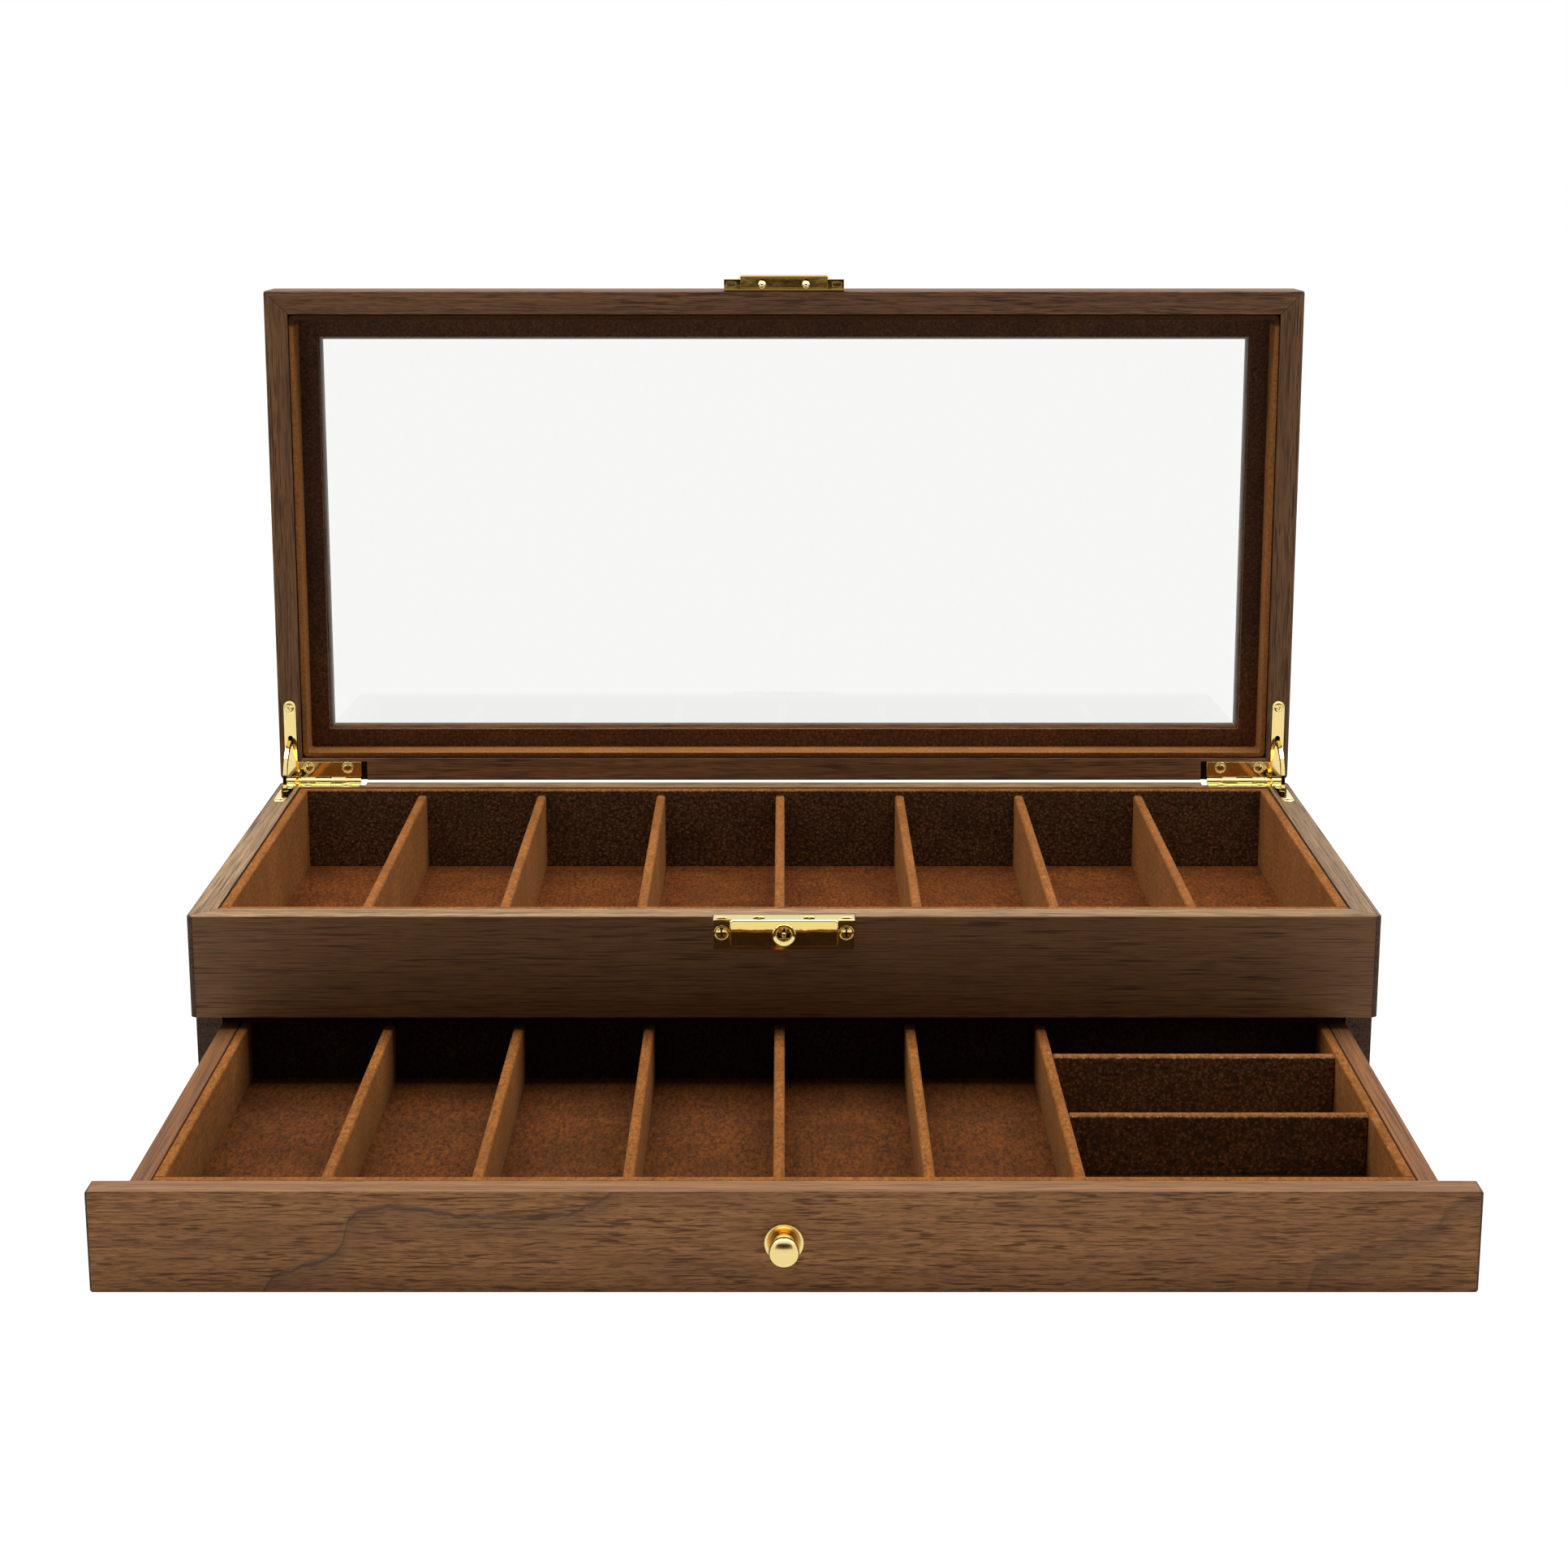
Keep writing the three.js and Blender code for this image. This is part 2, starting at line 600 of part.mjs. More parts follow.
// The catch: a cap on the lid's front whose two notched prongs drop into the lock.
function catchPlate() {
  const backY = -halfDepth - glueLine;
  const frontY = -halfDepth - catchProud;
  const halfCap = catchWidth * half;
  const halfEars = halfCap + lockEarWidth;
  const cap = softSlab(
    lidBottom,
    lidBottom + catchHeight,
    -halfCap,
    halfCap,
    frontY,
    backY + lockEdgeRadius,
    lockEdgeRadius,
    lockEdgeRadius,
  ).applyMatrix4(depthAlongY);
  const woodSide = block(-halfWidth, halfWidth, backY, backY + overrun, lidBottom - overrun, lidTop);
  const ears = block(-halfEars, halfEars, backY - lockEarThickness, backY, lidBottom, lidBottom + catchHeight);
  const flange = block(
    -halfEars,
    halfEars,
    -halfDepth - lockEarFlangeProud,
    backY,
    lidBottom,
    lidBottom + lockWall,
  );
  const recess = block(
    -halfCap + lockWall,
    halfCap - lockWall,
    frontY + lockWall,
    backY - lockEarThickness,
    lidBottom - overrun,
    lidBottom + catchRecessDepth,
  );
  let plate = solidFrom(cap).subtract(woodSide).add(ears).add(flange).subtract(recess);
  const earCentre = halfCap + lockEarWidth * half;
  const screwZ = lidBottom + lockScrewDrop;
  plate = plate.subtract(earCuts(earCentre, backY, screwZ, lidBottom, lidBottom + catchWindowSink));
  prongPlaces.forEach((x) => {
    const shankTop = lidBottom + catchRecessDepth * 2;
    const shank = upright(x, prongY, prongRadius, prongBottom + prongTipLength, shankTop);
    const tip = new THREE.CylinderGeometry(prongRadius, prongTipRadius, prongTipLength, roundSides);
    tip.rotateX(quarterTurn).translate(x, prongY, prongBottom + prongTipLength * half);
    const notch = block(
      x - prongRadius - overrun,
      x - prongRadius + boltTravel - boltGap + boltNotchGap * half,
      prongY - prongRadius - overrun,
      prongY + prongRadius + overrun,
      boltToothBottom - boltNotchGap,
      boltToothTop + boltNotchGap,
    );
    plate = plate.add(shank.add(solidFrom(tip)).subtract(notch));
  });
  return plate;
}

// The case's boards: one mitred frame, with the bay for the drawer front taken out of its lower front
function caseBoards() {
  const outer = solidFrom(
    softSlab(-halfWidth, halfWidth, -halfDepth, halfDepth, feltThickness, rimTop, cornerRadius, edgeRadius),
  );
  const hollow = block(
    -innerHalfWidth,
    innerHalfWidth,
    -innerHalfDepth,
    innerHalfDepth,
    feltThickness - overrun,
    rimTop + overrun,
  );
  const bayFront = block(
    -halfWidth - overrun,
    halfWidth + overrun,
    -halfDepth - overrun,
    -innerHalfDepth + drawerRunningGap,
    feltThickness - overrun,
    upperFrontBottom,
  );
  const lockSeat = block(
    -lockEarHalfWidth - leafFit,
    lockEarHalfWidth + leafFit,
    -halfDepth - overrun,
    -halfDepth + lockRimLap + leafFit,
    rimTop - lockWall,
    rimTop + overrun,
  );
  const frame = outer.subtract(hollow).subtract(bayFront).subtract(lockSeat).subtract(hingeRecess(false));
  return mitred(frame, feltThickness, rimTop, glueLine);
}

// The lid's rails: one mitred frame with an inward flange over the glass
function lidRails() {
  const outer = solidFrom(
    softSlab(-halfWidth, halfWidth, -halfDepth, halfDepth, lidBottom, lidTop, cornerRadius, edgeRadius),
  );
  const hollow = block(
    -innerHalfWidth,
    innerHalfWidth,
    -innerHalfDepth,
    innerHalfDepth,
    lidBottom - overrun,
    lidTop - lidFlangeThickness,
  );
  const windowInset = retainerWidth + liningGap * half + windowLip;
  const window = block(
    -innerHalfWidth + windowInset,
    innerHalfWidth - windowInset,
    -innerHalfDepth + windowInset,
    innerHalfDepth - windowInset,
    lidBottom - overrun,
    lidTop + overrun,
  );
  const frame = outer.subtract(hollow).subtract(window).subtract(hingeRecess(true));
  return mitred(frame, lidBottom, lidTop, glueLine);
}

const root = new THREE.Group();
root.name = "knife_display_case";

// Case
const boards = caseBoards();
root.add(piece("case_left_side", boards.left, walnut));
root.add(piece("case_right_side", boards.right, walnut));
root.add(piece("case_back", boards.back, walnut));
root.add(piece("case_front", boards.front, walnutFront));
root.add(
  piece(
    "case_shelf",
    block(-innerHalfWidth, innerHalfWidth, -innerHalfDepth, innerHalfDepth, upperFrontBottom, shelfTop),
    walnut,
  ),
);
const bottomFrontY = -innerHalfDepth + drawerRunningGap;
root.add(
  piece(
    "case_bottom",
    block(-innerHalfWidth, innerHalfWidth, bottomFrontY, innerHalfDepth, feltThickness, bottomTop),
    walnut,
  ),
);
root.add(
  piece(
    "base_felt",
    solidFrom(
      raise(
        roundedRectangle(
          -halfWidth + feltInset,
          bottomFrontY + feltInset,
          halfWidth - feltInset,
          halfDepth - feltInset,
          cornerRadius,
        ),
        0,
        feltThickness,
      ),
    ),
    blackFelt,
  ),
);

// Tray lining and dividers
const trayX = innerHalfWidth - liningGap;
const trayY = innerHalfDepth - liningGap;
const trayInnerX = trayX - trayLiningThickness;
const trayInnerY = trayY - trayLiningThickness;
const trayLiningTop = rimTop - trayLiningDrop;
root.add(piece("case_floor_lining", block(-trayX, trayX, -trayY, trayY, shelfTop, trayFloor), suede));

// Four boards of lining round a rectangle, the end boards standing between the long ones.
function liningBoards(prefix, outX, frontY, backY, thickness, low, high, group) {
  const soft = (x0, x1, y0, y1) => roundToppedBoard(x0, x1, y0, y1, low, high, liningEdgeRadius);
  const seam = glueLine;
  group.add(piece(prefix + "_front", soft(-outX, outX, frontY, frontY + thickness), suede));
  group.add(piece(prefix + "_back", soft(-outX, outX, backY - thickness, backY), suede));
  const sideFrom = frontY + thickness + seam;
  const sideTo = backY - thickness - seam;
  group.add(piece(prefix + "_left", soft(-outX, -outX + thickness, sideFrom, sideTo), suede));
  group.add(piece(prefix + "_right", soft(outX - thickness, outX, sideFrom, sideTo), suede));
}
liningBoards("case_lining", trayX, -trayY, trayY, trayLiningThickness, trayFloor, trayLiningTop, root);

// A divider with a softly rounded top, standing on a floor.
function divider(name, x0, x1, y0, y1, low, high) {
  return piece(name, roundToppedBoard(x0, x1, y0, y1, low, high, dividerEdgeRadius), suede);
}
dividerPlaces(-trayInnerX, trayInnerX, traySlotShares).forEach((x, index) => {
  root.add(
    divider(
      "case_divider_" + (index + 1),
      x,
      x + dividerThickness,
      -trayInnerY + glueLine,
      trayInnerY - glueLine,
      trayFloor,
      rimTop - trayDividerDrop,
    ),
  );
});

// Lock
root.add(piece("lock_housing", lockHousing(), giltBrass));
root.add(piece("lock_bolt", lockBolt(), giltBrass));

// Hinge leaves, pins and stays on the case
const caseKnuckles = [0, 2, 4];
const lidKnuckles = [1, 3];
const caseLeaf = hingeLeaf(rimTop - leafThickness, caseKnuckles, true);
root.add(piece("left_case_leaf", caseLeaf, giltBrass));
root.add(piece("right_case_leaf", mirrored(caseLeaf), giltBrass));
const hingePin = solidFrom(barAlong(depthAlongX, hingePinRadius, leafOuterX, leafEndX, knuckleSides));
const stay = lidStay();
[
  ["left", 1],
  ["right", -1],
].forEach(([side, sense]) => {
  const pin = piece(side + "_hinge_pin", sense > 0 ? hingePin : mirrored(hingePin), giltBrass);
  pin.position.set(0, hingeAxisY, hingeAxisZ);
  root.add(pin);
  const bow = piece(side + "_lid_stay", stay, giltBrass);
  bow.position.set(sense * leafMiddleX, hingeAxisY, hingeAxisZ);
  root.add(bow);
});

// Lid, drawn closed and turned open about the hinge axis
const lidPivot = new THREE.Group();
lidPivot.position.set(0, hingeAxisY, hingeAxisZ);
lidPivot.rotation.x = -openAngle;
const lid = new THREE.Group();
lid.position.set(0, -hingeAxisY, -hingeAxisZ);
lidPivot.add(lid);
root.add(lidPivot);

const rails = lidRails();
lid.add(piece("lid_left_rail", rails.left, walnut));
lid.add(piece("lid_right_rail", rails.right, walnut));
lid.add(piece("lid_front_rail", rails.front, walnut));
lid.add(piece("lid_back_rail", rails.back, walnut));

// Glass under the flange, the frame that keeps it there, and the lining below that
const glassTop = lidTop - lidFlangeThickness - glassGap;
const glassBottom = glassTop - glassThickness;
const glassX = innerHalfWidth - liningGap;
const glassY = innerHalfDepth - liningGap;
lid.add(piece("glass_pane", block(-glassX, glassX, -glassY, glassY, glassBottom, glassTop), clearGlass));

// A flat ring with a rectangular hole, round-cornered outside and in.
function ring(outX, outY, inX, inY, corner, low, high) {
  const shape = roundedRectangle(-outX, -outY, outX, outY, corner);
  shape.holes.push(roundedRectangle(-inX, -inY, inX, inY, corner * half));
  return solidFrom(raise(shape, low, high));
}
const retainerTop = glassBottom - glassGap;
const retainerBottom = retainerTop - retainerThickness;
const retainerX = innerHalfWidth - liningGap * half;
const retainerY = innerHalfDepth - liningGap * half;
lid.add(
  piece(
    "glass_retainer",
    ring(
      retainerX,
      retainerY,
      retainerX - retainerWidth,
      retainerY - retainerWidth,
      dividerEdgeRadius,
      retainerBottom,
      retainerTop,
    ),
    suede,
  ),
);
lid.add(
  piece(
    "lid_lining",
    ring(
      glassX,
      glassY,
      glassX - lidLiningThickness,
      glassY - lidLiningThickness,
      lidLiningCorner,
      lidBottom + lidLiningDrop,
      retainerBottom - glueLine,
    ),
    suede,
  ),
);

// Lid leaves, each its case leaf's mirror image in the parting plane, and the catch
const lidLeaf = hingeLeaf(lidBottom, lidKnuckles, false);
lid.add(piece("left_lid_leaf", lidLeaf, giltBrass));
lid.add(piece("right_lid_leaf", mirrored(lidLeaf), giltBrass));
lid.add(piece("catch_plate", catchPlate(), giltBrass));

// Drawer, drawn closed and pulled out
const drawer = new THREE.Group();
drawer.position.y = -drawerTravel;
root.add(drawer);
const drawerOuterX = innerHalfWidth - drawerSideGap;
const drawerInnerX = drawerOuterX - drawerSideThickness;
const drawerFrontY = -halfDepth;
const drawerBoxFrontY = drawerFrontY + drawerFrontThickness;
const drawerBoxBackY = drawerBoxFrontY + drawerBoxLength;
const drawerBottomZ = bottomTop + drawerRunningGap;
const drawerTopZ = upperFrontBottom - drawerTopGap;
const knobZ = feltThickness + drawerFrontHeight * half;

// The overlay front, bored and counterbored from behind for the knob's screw
function drawerFront() {
  const slab = softSlab(
    feltThickness,
    drawerFrontTop,
    -halfWidth,
    halfWidth,
    drawerFrontY,
    drawerBoxFrontY,
    cornerRadius,
    edgeRadius,
  ).applyMatrix4(depthAlongY);
  const bar = (radius, from, to) =>
    solidFrom(barAlong(depthAlongY, radius, from, to).translate(0, 0, knobZ));
  const hole = bar(knobScrewRadius + knobScrewFit, drawerFrontY - overrun, drawerBoxFrontY + overrun);
  const sink = bar(
    knobScrewHeadRadius + knobScrewFit,
    drawerBoxFrontY - knobScrewHeadThickness - knobScrewFit,
    drawerBoxFrontY + overrun,
  );
  return solidFrom(slab).subtract(hole).subtract(sink);
}
drawer.add(piece("drawer_front", drawerFront(), walnutFront));
const drawerBackInnerY = drawerBoxBackY - drawerSideThickness;
const drawerInnerFrontY = drawerBoxFrontY + drawerInnerFrontThickness;
[
  ["drawer_left_side", -drawerOuterX, -drawerInnerX, drawerBoxFrontY, drawerBoxBackY],
  ["drawer_right_side", drawerInnerX, drawerOuterX, drawerBoxFrontY, drawerBoxBackY],
  ["drawer_inner_front", -drawerInnerX, drawerInnerX, drawerBoxFrontY, drawerInnerFrontY],
  ["drawer_back", -drawerInnerX, drawerInnerX, drawerBackInnerY, drawerBoxBackY],
].forEach(([name, x0, x1, y0, y1]) => {
  drawer.add(piece(name, block(x0, x1, y0, y1, drawerBottomZ, drawerTopZ), walnut));
});
const drawerPanelTop = drawerBottomZ + drawerBottomThickness;
const drawerFloor = drawerPanelTop + floorLiningThickness;
drawer.add(
  piece(
    "drawer_bottom",
    block(-drawerInnerX, drawerInnerX, drawerInnerFrontY, drawerBackInnerY, drawerBottomZ, drawerPanelTop),
    walnut,
  ),
);

// Drawer lining and dividers
const drawerLiningX = drawerInnerX - liningGap;
const drawerLiningFrontY = drawerInnerFrontY + liningGap;
const drawerLiningBackY = drawerBackInnerY - liningGap;
drawer.add(
  piece(
    "drawer_floor_lining",
    block(-drawerLiningX, drawerLiningX, drawerLiningFrontY, drawerLiningBackY, drawerPanelTop, drawerFloor),
    suede,
  ),
);
liningBoards(
  "drawer_lining",
  drawerLiningX,
  drawerLiningFrontY,
  drawerLiningBackY,
  drawerLiningThickness,
  drawerFloor,
  drawerTopZ,
  drawer,
);
const slotLeftX = -drawerLiningX + drawerLiningThickness;
const slotRightX = drawerLiningX - drawerLiningThickness;
const slotFrontY = drawerLiningFrontY + drawerLiningThickness;
const slotBackY = drawerLiningBackY - drawerLiningThickness;
const drawerDividerTop = drawerTopZ - drawerDividerDrop;
const drawerDividerPlaces = dividerPlaces(slotLeftX, slotRightX, drawerSlotShares);
drawerDividerPlaces.forEach((x, index) => {
  drawer.add(
    divider(
      "drawer_divider_" + (index + 1),
      x,
      x + dividerThickness,
      slotFrontY + glueLine,
      slotBackY - glueLine,
      drawerFloor,
      drawerDividerTop,
    ),
  );
});

// The wide bay on the right is split across into small cells.
const bayLeftX = drawerDividerPlaces.at(-1) + dividerThickness;
dividerPlaces(slotFrontY, slotBackY, drawerCellShares).forEach((y, index) => {
  drawer.add(
    divider(
      "drawer_cross_divider_" + (index + 1),
      bayLeftX + glueLine,
      slotRightX - glueLine,
      y,
      y + dividerThickness,
      drawerFloor,
      drawerDividerTop,
    ),
  );
});

// Knob: a dished base, a waist and a domed head, turned about its own axis
function knob() {
  const neckStart = knobLength * half;
  const headStart = knobLength * 0.62;
  const profile = new THREE.Path();
  profile.moveTo(0, 0);
  profile.lineTo(knobBaseRadius, 0);
  profile.lineTo(knobBaseRadius, knobBaseThickness);
  profile.quadraticCurveTo(knobNeckRadius, knobBaseThickness, knobNeckRadius, neckStart);
  profile.quadraticCurveTo(knobNeckRadius, headStart, knobHeadRadius, headStart + knobSeatRadius);
  profile.lineTo(knobHeadRadius, knobLength - knobDome - knobSeatRadius);
  profile.quadraticCurveTo(knobHeadRadius, knobLength - knobDome, knobHeadRadius - knobSeatRadius, knobLength - knobDome);
  profile.quadraticCurveTo(knobHeadRadius * half, knobLength, 0, knobLength);
  const turned = new THREE.LatheGeometry(profile.getPoints(arcSteps * 2), roundSides);
  const body = solidFrom(turned.rotateX(Math.PI));
  const hole = new THREE.CylinderGeometry(
    knobScrewRadius + knobScrewFit,
    knobScrewRadius + knobScrewFit,
    (knobScrewReach + knobScrewFit) * 2,
    roundSides,
  );
  return body.subtract(solidFrom(hole));
}
const knobMesh = piece("drawer_knob", knob(), satinBrass);
knobMesh.position.set(0, drawerFrontY, knobZ);
drawer.add(knobMesh);

// The screw that holds the knob from behind the overlay front
function knobScrew() {
  const bar = (radius, from, to) => solidFrom(barAlong(depthAlongY, radius, from, to));
  const head = bar(knobScrewHeadRadius, -knobScrewHeadThickness - glueLine, -glueLine);
  const shank = bar(knobScrewRadius, -drawerFrontThickness - knobScrewReach, -knobScrewHeadThickness);
  return head.add(shank);
}
const screwMesh = piece("knob_screw", knobScrew(), giltBrass);
screwMesh.position.set(0, drawerBoxFrontY, knobZ);
drawer.add(screwMesh);

export default root;
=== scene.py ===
# %% [markdown]
# # A walnut display case, dressed for its portrait
# The case is a stack of mitred walnut boards lined with suede, with gilt fittings.
# Every solid of the model is loaded first, because it fixes all sizes and places.
# Each piece is then copied, its edges are eased as a maker would, and it gets its real finish.

# %% Load the model and remember its box
import json
import math
import bmesh
import bpy
from mathutils import Matrix, Vector

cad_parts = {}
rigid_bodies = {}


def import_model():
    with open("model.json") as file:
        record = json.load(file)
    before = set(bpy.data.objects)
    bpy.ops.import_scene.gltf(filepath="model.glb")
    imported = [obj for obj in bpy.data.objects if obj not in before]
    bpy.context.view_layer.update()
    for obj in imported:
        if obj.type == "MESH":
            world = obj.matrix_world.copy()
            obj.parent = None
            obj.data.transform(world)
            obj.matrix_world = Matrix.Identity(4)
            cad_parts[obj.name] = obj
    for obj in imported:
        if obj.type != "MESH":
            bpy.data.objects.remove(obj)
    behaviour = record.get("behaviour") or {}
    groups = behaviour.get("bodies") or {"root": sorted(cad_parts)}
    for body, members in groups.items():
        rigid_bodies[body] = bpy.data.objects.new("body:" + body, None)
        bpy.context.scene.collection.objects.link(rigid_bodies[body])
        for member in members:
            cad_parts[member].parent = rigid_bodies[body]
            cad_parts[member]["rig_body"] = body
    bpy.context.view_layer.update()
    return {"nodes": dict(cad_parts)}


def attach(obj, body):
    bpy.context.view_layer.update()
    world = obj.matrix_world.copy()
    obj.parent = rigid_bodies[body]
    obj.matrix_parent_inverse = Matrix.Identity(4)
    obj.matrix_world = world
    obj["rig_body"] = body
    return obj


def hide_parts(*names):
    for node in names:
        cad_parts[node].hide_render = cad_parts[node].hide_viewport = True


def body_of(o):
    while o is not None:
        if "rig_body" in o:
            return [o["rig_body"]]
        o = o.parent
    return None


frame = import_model()
nodes = frame["nodes"]
MM = 0.001
print("pieces in the model:", len(nodes))

# %% [markdown]
# ## Camera
# The photograph was taken from a little above the case, straight from the front.
# Place, tilt and lens were solved from the corners of the boards, and no shift is needed.
# A long lens keeps the drawer, which is nearer, only a little wider than the lid.

# %% Place the camera
CAMERA_DISTANCE, CAMERA_HEIGHT = 1046.357 * MM, 342.742 * MM
DEGREES_DOWN = 13.525
camera_data = bpy.data.cameras.new("photo_camera")
camera_data.sensor_fit = "HORIZONTAL"
camera_data.sensor_width = 36
camera_data.lens = 67.912
camera = bpy.data.objects.new("photo_camera", camera_data)
camera.location = (0, -CAMERA_DISTANCE, CAMERA_HEIGHT)
camera.rotation_euler = (math.radians(90 - DEGREES_DOWN), 0, 0)
bpy.context.scene.collection.objects.link(camera)
bpy.context.scene.camera = camera
bpy.context.scene.view_settings.view_transform = "Standard"
print("camera height in mm:", round(camera.location.z / MM, 1))

# %% [markdown]
# ## Helpers for colours and shader nodes
# Colours are given as sRGB hex, but shaders work in linear light.
# One function converts them. One other function adds any node with its settings and links
# and hands back the socket that the next node needs, so each material reads as a recipe.

# %% Colour and node helpers
def linear(hex_colour, amount=1.0):
    """An sRGB hex colour as linear RGBA, dimmed by an amount."""
    # the sRGB curve is a straight line near black and a power above it
    parts = [int(hex_colour[i:i + 2], 16) / 255 for i in (1, 3, 5)]
    straight = [c / 12.92 if c <= 0.04045 else ((c + 0.055) / 1.055) ** 2.4 for c in parts]
    return tuple(c * amount for c in straight) + (1,)


def add(tree, kind, inputs=None, out=0, **settings):
    """Adds a node and returns one of its outputs. An input takes a value, a socket or a list of sockets."""
    node = tree.nodes.new(kind)
    for name, value in settings.items():
        setattr(node, name, value)
    for name, value in (inputs or {}).items():
        for item in value if isinstance(value, list) else [value]:
            if isinstance(item, bpy.types.NodeSocket):
                tree.links.new(item, node.inputs[name])
            else:
                node.inputs[name].default_value = item
    return node.outputs[out] if len(node.outputs) else node


def new_material(name):
    """An empty node material."""
    material = bpy.data.materials.new(name)
    material.use_nodes = True
    material.node_tree.nodes.clear()
    return material, material.node_tree


# a Mix node for colours keeps its two colours in these inputs and its result in this output
FIRST, SECOND, MIXED = 6, 7, 2
print("linear mid brown:", [round(c, 3) for c in linear("#6e4e38")])

# %% [markdown]
# ## Growth lines of the two fronts
# Flat slicing cuts the growth rings at a shallow angle, so some show as long arches.
# The drawer front has one such arch on its left and a sweep near its right end. Noise alone
# never puts an arch where it is wanted, so each is drawn through points on the board, as a
# thin dark line with a soft shade on its inner side.
# The upper front has no arch, but its veneer is paler towards its ends, and its foot is lifted with painted
# light.

# %% Draw the growth lines
# places on the drawer front in mm: along it from the middle, and up from its foot
ARCH = [
    (-153, -8), (-149.9, 1.3), (-145, 6.9), (-136.8, 9.5), (-131, 11.7), (-127.5, 14.5), (-126, 18.5),
    (-125, 22.5), (-123.4, 24.8), (-119.7, 26.3), (-113.1, 27.2), (-105.7, 26.8), (-98.4, 25.5),
    (-91.9, 24.6), (-84.5, 24.4), (-76.3, 24), (-68.2, 24.8), (-60.8, 25.5), (-55.1, 28.1),
    (-50.2, 30.7), (-46, 38)]
SWEEP = [
    (148, -8), (151, 2.7), (153.9, 10.5), (160.8, 13.1), (170.6, 14.8), (178.8, 18.7), (187, 21.3),
    (189.8, 26.9), (201, 31)]
# a curve node works from 0 to 1, which stands for this height in mm
TALLEST = 40.0
# a line drawn by growth wavers: this is how far in mm, from side to side
WAVER = 2.0


def growth_line(tree, along, across, points):
    """How far in mm a place lies above a line drawn through points of the board."""
    first, last = points[0][0], points[-1][0]
    share = add(tree, "ShaderNodeMapRange", {"Value": along, "From Min": first, "From Max": last})
    height = add(tree, "ShaderNodeFloatCurve", {"Value": share})
    drawn = height.node.mapping
    drawn.use_clip = False
    for end, point in ((0, points[0]), (-1, points[-1])):
        drawn.curves[0].points[end].location = (abs(end), point[1] / TALLEST)
    for x, z in points[1:-1]:
        drawn.curves[0].points.new((x - first) / (last - first), z / TALLEST)
    drawn.update()
    return add(tree, "ShaderNodeMath", {0: height, 1: -TALLEST, 2: across}, operation="MULTIPLY_ADD")


def drawer_figure(tree, along, across, wood):
    """The arch and the sweep of the drawer front, laid over its wood."""
    waver = add(tree, "ShaderNodeTexNoise", {"W": along, "Scale": 0.2, "Detail": 3.0}, noise_dimensions="1D")
    for points, line_depth, shade_depth in ((ARCH, 0.8, 0.42), (SWEEP, 0.25, 0.45)):
        gap = growth_line(tree, along, across, points)
        gap = add(tree, "ShaderNodeMath", {0: waver, 1: WAVER, 2: gap}, operation="MULTIPLY_ADD")
        gap = add(tree, "ShaderNodeMath", {0: gap, 1: WAVER / 2}, operation="SUBTRACT")
        near = add(tree, "ShaderNodeMath", {0: gap}, operation="ABSOLUTE")
        # the ranges are in mm from the line: a stroke on it, and a shade that fades out 9 mm below
        line, below, inside = [
            add(tree, "ShaderNodeMapRange",
                {"Value": source, "From Min": low, "From Max": high, "To Min": weak, "To Max": strong})
            for source, low, high, weak, strong in (
                (near, 0.15, 1.3, line_depth, 0.0),
                (gap, -9.0, 0.0, 0.0, shade_depth),
                (gap, 0.0, 1.8, 1.0, 0.0))]
        shade = add(tree, "ShaderNodeMath", {0: below, 1: inside}, operation="MULTIPLY")
        mask = add(tree, "ShaderNodeMath", {0: line, 1: shade}, operation="MAXIMUM")
        wood = add(tree, "ShaderNodeMix", {"Factor": mask, FIRST: wood, SECOND: linear("#3f2f20")}, MIXED,
                   data_type="RGBA")
    return wood


def paler_ends_and_painted_light_foot(tree, along, across, wood):
    """The upper front's slow change from tan ends to a dark middle, with painted light on its foot."""
    tan = linear("#9c7044")
    # what is measured, where in mm the tan is strongest, where it is gone, and how strong it is
    # the first two entries pale the ends of the veneer; the last is painted light that lifts the foot out of
    # the shade above the drawer
    for side, end, inner, strength in (
            (along, -202.0, -105.0, 0.5), (along, 202.0, 0.0, 0.34), (across, 33.0, 48.0, 0.32)):
        mask = add(tree, "ShaderNodeMapRange",
                   {"Value": side, "From Min": end, "From Max": inner, "To Min": strength, "To Max": 0.0})
        wood = add(tree, "ShaderNodeMix", {"Factor": mask, FIRST: wood, SECOND: tan}, MIXED,
                   data_type="RGBA")
    return wood


print("points on the growth lines:", len(ARCH), len(SWEEP))

# %% [markdown]
# ## Walnut veneer
# The boards are faced with flat-sliced black walnut under a thin satin lacquer. The rings are
# drawn as cones round a tilted heart, bent by slow noise, because that is how they arise.
# A small stretch draws the grain out long and straight.
# Walnut's pores are dark grooves about 0.2 mm wide and a few millimetres long, which is too
# fine for the picture. They are drawn as flecks of about 8 by 0.7 mm with finer ones of 4 by
# 0.4 mm between them: they make walnut look like walnut, and they break the shine.
# The faces that look up wear their own copies of the same wood: paler on the case's rim,
# painted light for the sheen that the overhead light lays on tops, and darker on the drawer
# front's top, painted shade. The lid's outer faces get the tones of the case below, so that
# the two match when it is shut.

# %% Write the recipe for walnut
# which axes of the object run along the grain, across it and into the board
AXES = {"X": (0, 2, 1), "Y": (1, 2, 0), "Z": (2, 0, 1), "X flat": (0, 1, 2), "Y flat": (1, 0, 2)}
# how many times per mm each noise changes along, across and into the board, and its detail
LAYERS = {
    "bend": ((0.006, 0.02, 0.02), 2.0),
    "patches": ((0.014, 0.07, 0.07), 2.0),
    "fibres": ((0.022, 1.5, 1.5), 2.0),
    "clusters": ((0.05, 0.25, 0.25), 1.0),
    "flecks": ((0.12, 1.5, 1.5), 1.0),
    "fine_flecks": ((0.24, 2.5, 2.5), 1.0),
}
# how far in mm slow noise bends the rings, how wide the heart is (mm squared), and how many mm
# nearer to the heart the surface comes with each mm along the board
BEND, HEART, CLOSING = 18.0, 30.0, -0.03


